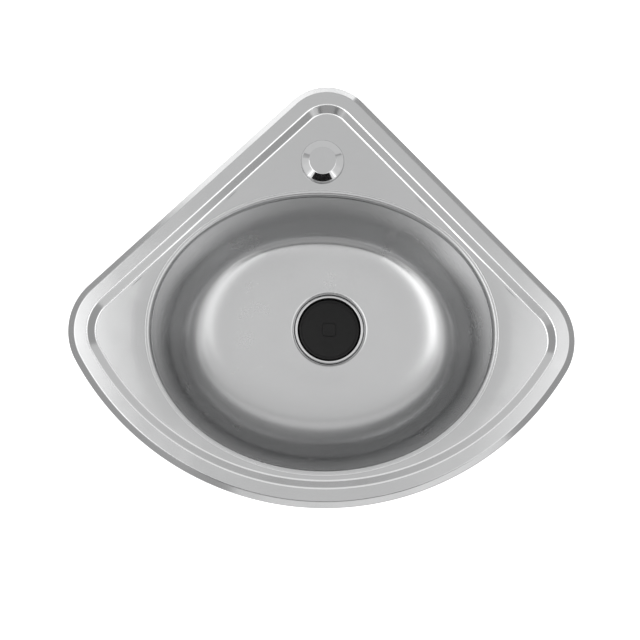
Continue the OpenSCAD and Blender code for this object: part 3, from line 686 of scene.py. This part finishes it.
def bowl():
    """The drawn bowl: a skin of ovals, a little square between mouth and drain, and its outside."""
    rings = []
    for a, b, cx, cy, z in bowl_levels():
        power = 2 + (SQUARENESS * clamp((MOUTH_A - a) / SQUARE_START)
                     * clamp((a - DRAIN_RING_R) / SQUARE_END))
        ring = []
        for c, s in ellipse(1.0, 1.0, BOWL_N):
            k = (abs(c) ** power + abs(s) ** power) ** (-1 / power)
            ring.append(Vector((cx + a * k * c, cy + b * k * s, z)))
        rings.append(ring)
    ease(rings)
    bend_low = DECK_UNDER - MOUTH_BEND_H
    for ring in rings:
        for p in ring:
            if p.z > bend_low:
                p.z -= dip(p.x, p.y) * (p.z - bend_low) / MOUTH_BEND_H
    outer = []
    last = len(rings) - 1
    for k, ring in enumerate(rings):
        outer.append([])
        for i, p in enumerate(ring):
            along = ring[(i + 1) % BOWL_N] - ring[i - 1]
            down = rings[min(last, k + 1)][i] - rings[max(0, k - 1)][i]
            outer[k].append(p + down.cross(along).normalized() * SHEET)
    return skin(rings + outer[::-1], closed=True)


make_object("bowl_drawn_shell", bowl(), DRAWN, ["bowl"], angle=50.0)


# Shapes for the small pieces
def place(shape, x=0.0, y=0.0, z=0.0, angle=0.0, mirror=False):
    c, s = cos(radians(angle)), sin(radians(angle))
    verts = [(c * a - s * b + x, s * a + c * b + y, h + z) for a, b, h in shape[0]]
    if mirror:
        verts = [(-a, b, h) for a, b, h in verts]
    return verts, shape[1]


def at_clips(shape):
    """The four copies of a shape that stand at the clips' studs."""
    return merge(*[place(shape, x, y, 0, angle, mirror)
                   for (x, y, angle) in (BACK_CLIP, SIDE_CLIP) for mirror in (False, True)])


def soften(shape, width, segments=2, angle=40.0):
    """The shape with its sharp edges rounded by a narrow bevel."""
    mesh = bmesh.new()
    made = [mesh.verts.new(v) for v in shape[0]]
    for face in shape[1]:
        mesh.faces.new([made[i] for i in face])
    bmesh.ops.remove_doubles(mesh, verts=mesh.verts, dist=0.001)
    bmesh.ops.recalc_face_normals(mesh, faces=mesh.faces)
    edges = [e for e in mesh.edges
             if len(e.link_faces) == 2 and e.calc_face_angle(0) > radians(angle)]
    bmesh.ops.bevel(mesh, geom=edges, offset=width, segments=segments, profile=0.5, affect="EDGES",
                    clamp_overlap=True)
    mesh.verts.index_update()
    verts = [tuple(v.co) for v in mesh.verts]
    faces = [tuple(v.index for v in f.verts) for f in mesh.faces]
    mesh.free()
    return verts, faces


def prism(loop, z0, z1):
    """A plate between two heights with the outline of a convex or plain loop."""
    n = len(loop)
    faces = [tuple(range(n)), tuple(range(n, 2 * n))]
    faces += [(i, (i + 1) % n, n + (i + 1) % n, n + i) for i in range(n)]
    return at_height(loop, z0) + at_height(loop, z1), faces


def box_loop(x0, x1, y0, y1):
    return [(x0, y0), (x1, y0), (x1, y1), (x0, y1)]


def upright(shape):
    """Turns a plate that was drawn flat so that its y runs up."""
    return [(x, -z, y) for x, y, z in shape[0]], shape[1]


def thread(r, pitch, depth, z0, z1, n, cuts, hole=False, tip=0.0):
    """Rings of a screw thread from z0 up to z1, run out at both ends, with a tapered tip at z0."""
    rows = round((z1 - z0) / pitch * cuts)
    rings = []
    for k in range(rows + 1):
        z = z0 + (z1 - z0) * k / rows
        fade = min(1.0, (z - z0) / pitch, (z1 - z) / pitch)
        ring = []
        for i, (c, s) in enumerate(ellipse(1.0, 1.0, n)):
            turn = (z / pitch - i / n) % 1.0
            groove = clamp(abs(2 * turn - 1) * FLANK - CREST)
            cut = depth * (groove * fade + (1 - fade) * 0.5)
            reach = r + cut if hole else r - cut
            if z - z0 < tip:
                reach = min(reach, r - (tip - (z - z0)) * TIP_SLOPE)
            ring.append((reach * c, reach * s, z))
        rings.append(ring)
    return rings


def shank(low, high, neck):
    """A threaded shank of the studs' size, with a plain neck at its top."""
    r, n, run_out = STUD_D / 2, 32, 0.4
    rings = thread(r, *FINE_THREAD, low, high - neck, n, 7, tip=0.8)
    return tube(rings + [circle(r, high - (neck - run_out), n), circle(r, high, n)])


def hex_nut(across, z0, z1):
    """A hexagon nut for the studs, with turned chamfers and a threaded bore."""
    n, lead = 96, 0.35
    chamfer_share, chamfer_slope = 0.97, 0.577
    flat, bore = across / 2, STUD_D / 2 + RUNNING_GAP
    rings = [circle(bore + lead, z0, n)]
    for z, way in ((z0, 1), (z1, -1)):
        face, edge = [], []
        for i, (c, s) in enumerate(ellipse(1.0, 1.0, n)):
            part = (360 * i / n + 30) % 60 - 30
            far = flat / cos(radians(part))
            near = min(far, flat * chamfer_share)
            face.append((near * c, near * s, z))
            edge.append((far * c, far * s, z + way * (far - near) * chamfer_slope))
        rings += [face, edge][::way]
    rings.append(circle(bore + lead, z1, n))
    rings += thread(bore, FINE_THREAD[0], lead, z0 + lead, z1 - lead, n, 6, hole=True)[::-1]
    return skin(rings, closed=True)


def turned(section, radius, n, centre=(0.0, 0.0)):
    """A section with its corners rounded, revolved."""
    return lathe(round_path(section, radius, 4, closed=True), n, centre)


def lengths_along(path):
    lengths = [0.0]
    for a, b in zip(path, path[1:]):
        lengths.append(lengths[-1] + hypot(b[0] - a[0], b[1] - a[1]))
    return lengths


def fastener(name, shape, node, angle=42.0):
    make_object(name, shape, BOLT, [node], angle=angle)


def bent_sheet(path, thickness, blank, hole, spacing):
    """A sheet cut to a blank, with a hole, and bent along a path.

    The blank's x runs along the path and its y across it. The path is the sheet's outer side."""
    lengths = lengths_along(path)

    def on(u, points):
        u = min(max(u, 0.0), lengths[-1])
        k = min(bisect_right(lengths, u), len(lengths) - 1) - 1
        t = (u - lengths[k]) / (lengths[k + 1] - lengths[k])
        return [points[k][axis] + (points[k + 1][axis] - points[k][axis]) * t for axis in (0, 1)]

    # lines across the blank at the path's own points keep the bends crisp
    flat, triangles = fill_plane([blank], [[hole]], spacing, lengths[1:-1])
    skins = []
    for points in (path, offset_path(path, -thickness)):
        bent = [(*on(u, points), v) for u, v in flat]
        skins.append(([(x, v, z) for x, z, v in bent], triangles))
    verts, faces = merge(*skins)
    uses = {}
    for t in triangles:
        for a, b in ((t[0], t[1]), (t[1], t[2]), (t[2], t[0])):
            key = (min(a, b), max(a, b))
            uses[key] = uses.get(key, 0) + 1
    half = len(flat)
    faces += [(a, b, half + b, half + a) for (a, b), count in uses.items() if count == 1]
    return verts, faces


# Sealing strip under the rim
def rim_seal():
    section = round_path(box_loop(-BEND_R, -BEND_R - SEAL_W, 0, RIM_H - SHEET), 0.7, 3, closed=True)
    return outline_skin(section, closed=True)


make_object("foam_sealing_strip", rim_seal(), FOAM, ["rim_seal"])


# Rails, studs, nuts and clips
def rail():
    """A folded channel with its lips turned in below."""
    w, h, half = RAIL_W / 2, RAIL_H, RAIL_L / 2
    path = [(RAIL_LIP - w, -h), (-w, -h), (-w, 0), (w, 0), (w, -h), (w - RAIL_LIP, -h)]
    path = round_path(path, 1.3, 5)
    loop = path + offset_path(path, -RAIL_T)[::-1]
    m = len(loop)
    verts = [(x, -half, z) for x, z in loop] + [(x, half, z) for x, z in loop]
    faces = [(i, (i + 1) % m, m + (i + 1) % m, m + i) for i in range(m)]
    for base in (0, m):
        faces += [(base + i, base + i + 1, base + m - 2 - i, base + m - 1 - i)
                  for i in range(len(path) - 1)]
    return place((verts, faces), z=DECK_UNDER)


def stud():
    """A square head in the rail and a threaded shank below it."""
    head_low, head_h = RAIL_UNDER + RAIL_T, 2.2
    w = RAIL_W / 2 - RAIL_T - 0.05
    head = soften(prism(box_loop(-w, w, -w, w), head_low, head_low + head_h), 0.35, 3)
    return merge(head, shank(STUD_END, head_low, 4.0))


def clip():
    """The toothed clip: a blank with teeth, a stud hole and a notched heel, bent twice."""
    bend_r, tooth_h, notch, hole_r = 3.2, 1.5, 1.5, 3.05
    path = round_path([(CLIP_REACH, TOE_TOP), (CLIP_REACH, ARM_Z), (-CLIP_TAIL, ARM_Z),
                       (-CLIP_TAIL, RAIL_UNDER - 0.3)], bend_r, 7)
    length = lengths_along(path)[-1]
    w, pitch = CLIP_W / 2, CLIP_W / 4
    blank = []
    for i in range(-2, 3):
        for dv, du in ((-pitch / 2, 0.0), (0.0, tooth_h), (pitch / 2, 0.0)):
            v = i * pitch + dv
            if -w <= v <= w and (not blank or v > blank[-1][1] + 1e-6):
                blank.append((du, v))
    blank += [(length - notch, w), (length, w - notch), (length, notch - w), (length - notch, -w)]
    centre = CLIP_REACH + (TOE_TOP - ARM_Z) - 2 * (bend_r - pi * bend_r / 4)
    return bent_sheet(path, CLIP_T, blank, ellipse(hole_r, hole_r, 40, centre, 0.0), 2.0)


make_object("clip_channel_rails", at_clips(soften(rail(), 0.16)), ZINC, ["clip_rails"])
fastener("clip_square_head_studs", at_clips(stud()), "clip_studs")
fastener("clip_hex_nuts", at_clips(hex_nut(10.0, NUT_TOP - 5.0, NUT_TOP)), "clip_nuts")
CLIP = soften(clip(), 0.22)
for row, (clip_x, clip_y, way) in (("back", BACK_CLIP), ("side", SIDE_CLIP)):
    for hand, mirrored in (("right", False), ("left", True)):
        make_object(f"clip_{row}_{hand}_toothed", place(CLIP, clip_x, clip_y, 0, way, mirrored), ZINC,
                    [f"clip_{row}_{hand}"], f"{row}_{hand}_clip")


# Cover of the tap hole
def cap_cover():
    """A flat crown with a cone round it, hollow below, with a boss for the stud."""
    r, z, top, under = CAP_D / 2, CAP_Z, CAP_Z + CAP_H, CAP_Z + CAP_H - 1.5
    hollow, boss, bore, lead = r - 4.0, 6.5, CAP_STUD_R + RUNNING_GAP, 0.3
    crown_r, cone_r, cone_angle = 12.0, r - 1.4, 24
    fall = (cone_r - crown_r) * tan(radians(cone_angle))
    shoulder = round_path([(r, z + 0.35), (r, z + 2.6), (cone_r, top - fall), (crown_r, top),
                           (crown_r - 3, top)], [0, 1.2, 2.0, 2.5, 0], 10)
    shoulder = supported(shoulder[1:-1], 0.15, 0.8)
    crown = [(crown_r - 3.2, top), (6.0, top), (0.0, top)]
    below = [(0.0, under - 0.75), (bore, under - 0.75), (bore, z + lead), (bore + lead, z),
             (boss - lead, z), (boss, z + lead), (boss, under - 0.5), (boss + 0.5, under),
             (hollow - 1.5, under), (hollow, under - 1.5), (hollow, z + lead), (hollow + lead, z)]
    edge = [(r - 0.35, z), (r - 0.1, z + 0.1), (r, z + 0.35)]
    return lathe(edge + shoulder + crown + below, 160, TAP)


def clamp_washer():
    """A dished washer that presses up against the deck."""
    inner, hub, low = CAP_STUD_R + 0.16, 8.5, WASHER_END
    section = [(CLAMP_R - 3.0, DECK_UNDER), (CLAMP_R, DECK_UNDER), (CLAMP_R, DECK_UNDER - 1.5),
               (hub, low), (inner, low), (inner, low + 1.5), (hub, low + 1.5)]
    return turned(section, [0.3, 0.3, 0.4, 2.0, 0.2, 0.2, 2.0], RING_N, TAP)


def wing_nut():
    top, low, bore = WASHER_END, WASHER_END - 7.0, CAP_STUD_R + RUNNING_GAP
    hub = turned([(bore, top), (6.4, top), (7.0, low), (bore, low)], [0.4, 0.5, 0.6, 0.4], 64)
    loop = round_path([(3.9, 0.0), (12.4, -5.0), (15.0, -2.5), (15.0, 2.5), (3.9, 5.7)],
                      [0.0, 2.2, 1.5, 1.5, 0.0], 6, closed=True)
    wing = soften(upright(prism(loop, -1.3, 1.3)), 0.6, 3, 60)
    return place(merge(hub, *[place(wing, z=low, angle=turn) for turn in (0, 180)]), *TAP)


make_object("tap_hole_cover", cap_cover(), CHROME, ["tap_hole_cap"], angle=50.0)
cap_gasket = turned(box_loop(TAP_R - 4.0, CAP_D / 2 - 0.4, DECK_TOP, CAP_Z), 0.3, RING_N, TAP)
make_object("tap_cover_gasket", cap_gasket, RUBBER, ["cap_gasket"])
cap_stud = tube(thread(CAP_STUD_R, *CAP_THREAD, CAP_STUD_END, CAP_Z + CAP_H - 3.2, 40, 7, tip=1.0))
fastener("tap_cover_threaded_stud", place(cap_stud, *TAP), "cap_stud")
make_object("tap_cover_clamp_washer", clamp_washer(), PLASTIC, ["cap_clamp_washer"])
fastener("tap_cover_wing_nut", wing_nut(), "cap_wing_nut", 40.0)


# Waste
def waste_flange():
    """The lip, the steep dish, the plug's seat, the strainer cup and its pierced floor."""
    sheet, pierced_r, break_w = 1.0, 20.5, 0.12
    seat, floor_top = CUP_TOP + sheet, CUP_FLOOR + sheet
    side = round_path([(pierced_r, CUP_FLOOR), (CUP_R + sheet, CUP_FLOOR), (CUP_R + sheet, CUP_TOP),
                       (SHELF_R, CUP_TOP), (LIP_R - 0.8, LIP_Z - 2.0), (LIP_R + 0.8, LIP_Z - 2.0),
                       (LIP_R + 0.9, LIP_Z - 1.5), (LIP_R - 0.1, LIP_Z), (LIP_R - 1.8, LIP_Z),
                       (SHELF_R - 1.0, seat), (CUP_R, seat), (CUP_R, floor_top), (pierced_r, floor_top)],
                      [0, 1.2, 0.6, 0.8, 0.3, 0.2, 0.6, 0.5, 0.6, 0.6, 1.0, 0.4, 0], 5)

    # holes: x, y and radius, the screw's in the middle and two circles of strainer holes round it
    places = [(0.0, 0.0, 3.16)]
    for share, count in ((0.42, 8), (0.76, 14)):
        places += [(x, y, 2.2) for x, y in ellipse(share * CUP_R, share * CUP_R, count)]
    holes = [[ellipse(r + grow, r + grow, 28, x, y) for grow in (break_w, 0.0)] for x, y, r in places]
    rim = ellipse(pierced_r, pierced_r, WASTE_N)
    flat, triangles = fill_plane([rim], [[hole[0]] for hole in holes], 1.7)
    shape = merge(lathe(side, WASTE_N, closed=False), plates(flat, triangles, (CUP_FLOOR, floor_top)))
    for wide, narrow in holes:
        rings = [at_height(wide, CUP_FLOOR), at_height(narrow, CUP_FLOOR + break_w),
                 at_height(narrow, floor_top - break_w), at_height(wide, floor_top)]
        shape = merge(shape, skin(rings))
    return place(shape, *DRAIN)


def waste_body():
    """The moulded body: flange, barrel, shoulder, threaded tail, and a boss on four ribs."""
    barrel, tail_r, boss_r = BODY_BORE_R + 3.5, TAIL_D / 2, 9.0
    shell = round_path([(tail_r - 3.5, TAIL_TOP + 1.75), (BODY_BORE_R, TAIL_TOP + 7.0),
                        (BODY_BORE_R, BODY_TOP), (BODY_FLANGE_R, BODY_TOP),
                        (BODY_FLANGE_R, BODY_TOP - 4.0), (barrel, BODY_TOP - 7.5),
                        (barrel, TAIL_TOP), (tail_r, TAIL_TOP - 1.75)],
                       [1.0, 1.0, 0.4, 0.6, 0.8, 1.2, 0.8, 0.3], 5)
    rings = [circle(r, z, BODY_N) for r, z in shell]
    rings += thread(tail_r, *TAIL_THREAD, TAIL_END + 0.9, TAIL_TOP - 2.2, BODY_N, 10)[::-1]
    rings += [circle(tail_r - 0.9, TAIL_END, BODY_N), circle(tail_r - 3.1, TAIL_END, BODY_N),
              circle(tail_r - 3.5, TAIL_END + 0.4, BODY_N)]
    bore, pocket = STUD_D / 2 + RUNNING_GAP, TAIL_TOP + 2.4
    boss = turned([(bore, pocket), (bore, CUP_FLOOR), (boss_r, CUP_FLOOR), (boss_r, TAIL_TOP),
                   (0.0, TAIL_TOP), (0.0, pocket)], [0.2, 0.3, 0.5, 0.6, 0, 0], 64)
    rib = prism(box_loop(boss_r - 0.2, BODY_BORE_R + 0.4, -1.2, 1.2), TAIL_TOP, CUP_FLOOR - 2.6)
    ribs = [place(soften(rib, 0.3), angle=turn) for turn in (45, 225, 135, 315)]
    return place(merge(skin(rings, closed=True), boss, *ribs), *DRAIN)


def waste_screw():
    """A cheese-head screw with a slot."""
    low, high = CUP_FLOOR + 1.0, CUP_FLOOR + 3.6
    n, slot, slot_z, top_r = 64, 0.7, high - 1.2, 4.7
    head = tube([circle(r, z, n) for r, z in ((6.0, low), (6.0, low + 0.5), (4.95, high - 0.25),
                                              (top_r, high))], True, False)
    reach = sqrt(top_r ** 2 - slot ** 2)
    sides = []
    for sign in (1, -1):
        half = [(x, y) for x, y in ellipse(top_r, top_r, n) if sign * y > slot + 0.05]
        half.sort(key=lambda p: atan2(sign * p[1], sign * p[0]))
        loop = [(sign * reach, sign * slot)] + half + [(-sign * reach, sign * slot)]
        m = len(loop)
        verts = at_height(loop, high) + at_height((loop[0], loop[-1]), slot_z)
        sides.append((verts, [tuple(range(m)), (0, m - 1, m + 1, m)]))
    corners = [(reach, -slot), (reach, slot), (-reach, slot), (-reach, -slot)]
    bottom = (at_height(corners, slot_z), [(0, 1, 2, 3)])
    return place(merge(head, *sides, bottom, shank(TAIL_TOP + 4.8, low, 1.0)), *DRAIN)


def drain_plug():
    """The crowned disc with a turned groove near its edge, a skirt below and a square grip."""
    z, r, skirt, skirt_in = PLUG_Z, PLUG_R, CUP_R - 1.5, CUP_R - 3.5
    crown, crown_r, crown_rings, groove = 0.5, r - 2.8, 24, 0.22
    top, skirt_low = z + 2.4, z - 5.0
    profile = [(0.0, z), (skirt_in, z), (skirt_in, skirt_low + 0.3), (skirt_in + 0.3, skirt_low),
               (skirt - 0.3, skirt_low), (skirt, skirt_low + 0.3), (skirt, z), (r - 0.6, z), (r, z + 0.6),
               (r, top - 0.5), (r - 0.15, top - 0.15), (r - 0.55, top), (r - 1.6, top + 0.03),
               (r - 1.9, top - groove), (r - 2.5, top - groove), (crown_r, top + 0.05)]
    for i in range(1, crown_rings + 1):
        ring_r = crown_r * (1 - i / crown_rings)
        profile.append((ring_r, top + crown * (1 - (ring_r / r) ** 2)))
    disc = lathe(profile, 160, closed=False)
    w, corner, grip_top = GRIP_W / 2, GRIP_W / 4, top + crown + 1.2
    loop = round_path(box_loop(-w, w, -w, w), corner, 10, closed=True)
    rows = []
    for inset, h in ((-0.5, top + 0.3), (-0.12, top + 0.6), (0.0, top + 0.9), (0.0, grip_top - 0.35),
                     (0.12, grip_top - 0.1), (0.4, grip_top), (1.4, grip_top - 0.05),
                     (3.0, grip_top - 0.18)):
        k = (w - inset) / w
        rows.append([(x * k, y * k, h) for x, y in loop])
    return place(merge(disc, tube(rows, False, True)), *DRAIN)


make_object("waste_pressed_flange", waste_flange(), WASTE, ["waste_flange"], angle=45.0)
flange_seal = turned(box_loop(HOLE_R, SHELF_R, SEAT_Z, CUP_TOP), 0.3, RING_N, DRAIN)
make_object("waste_flange_seal", flange_seal, RUBBER, ["flange_seal"])
body_seal = turned(box_loop(HOLE_R, BODY_FLANGE_R, BODY_TOP, SEAT_Z - SHEET), 0.5, RING_N, DRAIN)
make_object("waste_body_seal", body_seal, RUBBER, ["body_seal"])
make_object("waste_moulded_body", waste_body(), PLASTIC, ["waste_body"], angle=48.0)
fastener("waste_slotted_screw", waste_screw(), "waste_screw")
make_object("drain_plug_disc", drain_plug(), PLUG, ["drain_plug"], "plug", angle=38.0)


# Floor, lights and camera
FLOOR_ALBEDO, FLOOR_WHITE, FLOOR_MIRRORED, SKY = 0.82, 0.97, 0.4, 0.477
# Soft boxes: azimuth and zenith of the middle, breadth and height in degrees, and radiance
BOXES = (
    ("overhead", 0, 0, 0, 76, 0.33),
    ("right_main", 348, 19.9, 80, 19.4, 0.75),
    ("left_main", 185, 20.1, 80, 19.4, 1.5),
    ("right_lower", 352, 38, 76, 16, 0.5),
    ("left_lower", 188, 38, 76, 16, 0.55),
    ("right_low", 352, 51, 84, 10, 0.4),
    ("left_low", 188, 51, 84, 10, 0.42),
    ("front_right", 307, 64, 26, 22, 0.42),
    ("front_left", 222, 64, 36, 22, 0.2),
    ("back_band", 92, 58, 116, 30, 0.4),
    ("front_low", 285, 76, 70, 9, 0.7),
    ("back_horizon", 97, 86, 68, 10, 1.3),
    ("streak_left", 214, 42, 6, 10, 1.6),
    ("streak_right", 326, 42, 6, 10, 0.8),
)
LEVEL, BOX_DISTANCE = 0.867, 6.0
# Dark cards: azimuth of both ends, zenith of the middle and height, in degrees
FLAGS = (
    ("studio_flag_middle", 223, 317, 33.5, 9.5),
    ("studio_flag_left", 239, 249, 62, 11),
    ("studio_flag_right", 291, 301, 62, 11),
)
FLAG_DISTANCE, FLAG_STEPS = 1.7, 12
# The camera: its lens in pixels of a picture of this width, its shift and its turns
FOCAL_PIXELS, PICTURE_PIXELS, SENSOR_MM = 1357.8, 640, 36
SHIFT_X, SHIFT_Y = -0.0035, 0.0203
ROLL, TILT, PAN = radians(-1.51), radians(6.0), radians(1.0)
# The point it looks at, in millimetres, and how many metres away it stands
TARGET, CAMERA_DISTANCE = (0, -2.06, 6), 1.2


def floor_material():
    """White to the camera, pale in mirrors, and clear from below, so that the underside can be seen."""
    n = Nodes("pale_floor")
    n.tree.nodes.remove(n.shader)
    diffuse = n.add("ShaderNodeBsdfDiffuse", Color=(FLOOR_ALBEDO, FLOOR_ALBEDO, FLOOR_ALBEDO, 1))
    glow = n.add("ShaderNodeEmission")
    path = n.add("ShaderNodeLightPath")
    seen = n.math("MAXIMUM", path.outputs["Is Camera Ray"], path.outputs["Is Transmission Ray"])
    level = n.math("MAXIMUM", n.math("MULTIPLY", seen, FLOOR_WHITE),
                   n.math("MULTIPLY", path.outputs["Is Glossy Ray"], FLOOR_MIRRORED))
    n.link(level, glow.inputs["Strength"])
    both = n.add("ShaderNodeAddShader")
    n.link(diffuse.outputs[0], both.inputs[0])
    n.link(glow.outputs[0], both.inputs[1])
    sides = n.add("ShaderNodeMixShader")
    n.link(n.add("ShaderNodeNewGeometry").outputs["Backfacing"], sides.inputs[0])
    n.link(both.outputs[0], sides.inputs[1])
    n.link(n.add("ShaderNodeBsdfTransparent").outputs[0], sides.inputs[2])
    n.link(sides.outputs[0], n.tree.nodes["Material Output"].inputs["Surface"])
    return n.mat


def light_world():
    """A surround that is white to the camera and grey to everything else."""
    world = bpy.data.worlds.new("studio")
    bpy.context.scene.world = world
    world.use_nodes = True
    tree = world.node_tree
    sky = tree.nodes["Background"]
    sky.inputs["Color"].default_value = (1, 1, 1, 1)
    ray = tree.nodes.new("ShaderNodeLightPath")
    lift = tree.nodes.new("ShaderNodeMath")
    lift.operation = "MAXIMUM"
    lift.inputs[1].default_value = SKY
    tree.links.new(ray.outputs["Is Camera Ray"], lift.inputs[0])
    tree.links.new(lift.outputs[0], sky.inputs["Strength"])


def soft_box(name, azimuth, zenith, breadth, depth, radiance):
    """A lamp that faces the middle of the sink. Radiance 1 looks white. No breadth makes it square."""
    height = 2 * BOX_DISTANCE * tan(radians(depth) / 2)
    width = 2 * BOX_DISTANCE * tan(radians(breadth) / 2) * sin(radians(zenith))
    lamp = bpy.data.lights.new(name, "AREA")
    lamp.shape = "RECTANGLE"
    lamp.size, lamp.size_y = width or height, height
    lamp.energy = radiance * pi * lamp.size * lamp.size_y
    obj = add_object(name, lamp)
    a, e = radians(azimuth), radians(90 - zenith)
    way = Vector((cos(e) * cos(a), cos(e) * sin(a), sin(e)))
    obj.location = way * BOX_DISTANCE
    obj.rotation_euler = way.to_track_quat("Z", "Y").to_euler()
    obj.visible_camera = False


def flag(name, start, end, zenith, depth):
    """A dark curved card that the camera doesn't see, and that the cover and the step mirror."""
    front, rise_at_side, side_way = 270, 4.0, 60
    verts = []
    for i in range(FLAG_STEPS + 1):
        a = radians(start + (end - start) * i / FLAG_STEPS)
        rise = rise_at_side * ((degrees(a) - front) / side_way) ** 2
        for edge in (-0.5, 0.5):
            z = radians(zenith + rise + depth * edge)
            out = FLAG_DISTANCE * sin(z)
            verts.append((out * cos(a), out * sin(a), FLAG_DISTANCE * cos(z)))
    faces = [(2 * i, 2 * i + 1, 2 * i + 3, 2 * i + 2) for i in range(FLAG_STEPS)]
    mesh = bpy.data.meshes.new(name)
    mesh.from_pydata(verts, [], faces)
    mesh.materials.append(CARD)
    card = add_object(name, mesh)
    card.visible_camera = False


def photo_camera():
    """The camera, turned by its roll, tilt and pan from looking straight down."""
    camera = bpy.data.cameras.new("photo_camera")
    camera.sensor_width = SENSOR_MM
    camera.sensor_fit = "HORIZONTAL"
    camera.lens = FOCAL_PIXELS * SENSOR_MM / PICTURE_PIXELS
    camera.shift_x, camera.shift_y = SHIFT_X, SHIFT_Y
    camera.clip_start, camera.clip_end = 0.01, 50
    way = Matrix.Rotation(PAN, 3, "Y") @ Matrix.Rotation(-TILT, 3, "X") @ Matrix.Rotation(ROLL, 3, "Z")
    eye = Vector(TARGET) * MM + way[2] * CAMERA_DISTANCE
    obj = add_object("photo_camera", camera)
    obj.matrix_world = Matrix.Translation(eye) @ way.transposed().to_4x4()
    bpy.context.scene.camera = obj


CARD = plastic("dark_card", (0.008, 0.008, 0.008), (0.012, 0.012, 0.012), 0.9, 0.1, 900.0, 0.1)
bpy.ops.mesh.primitive_plane_add(size=12, location=(0, 0, cad_low[2] - 0.0005))
floor = bpy.context.object
floor.name = "studio_floor"
floor.data.materials.append(floor_material())
light_world()
for *box, brightness in BOXES:
    soft_box(*box, brightness * LEVEL)
for card in FLAGS:
    flag(*card)
photo_camera()
bpy.context.scene.view_settings.view_transform = "Standard"

bpy.context.view_layer.update()
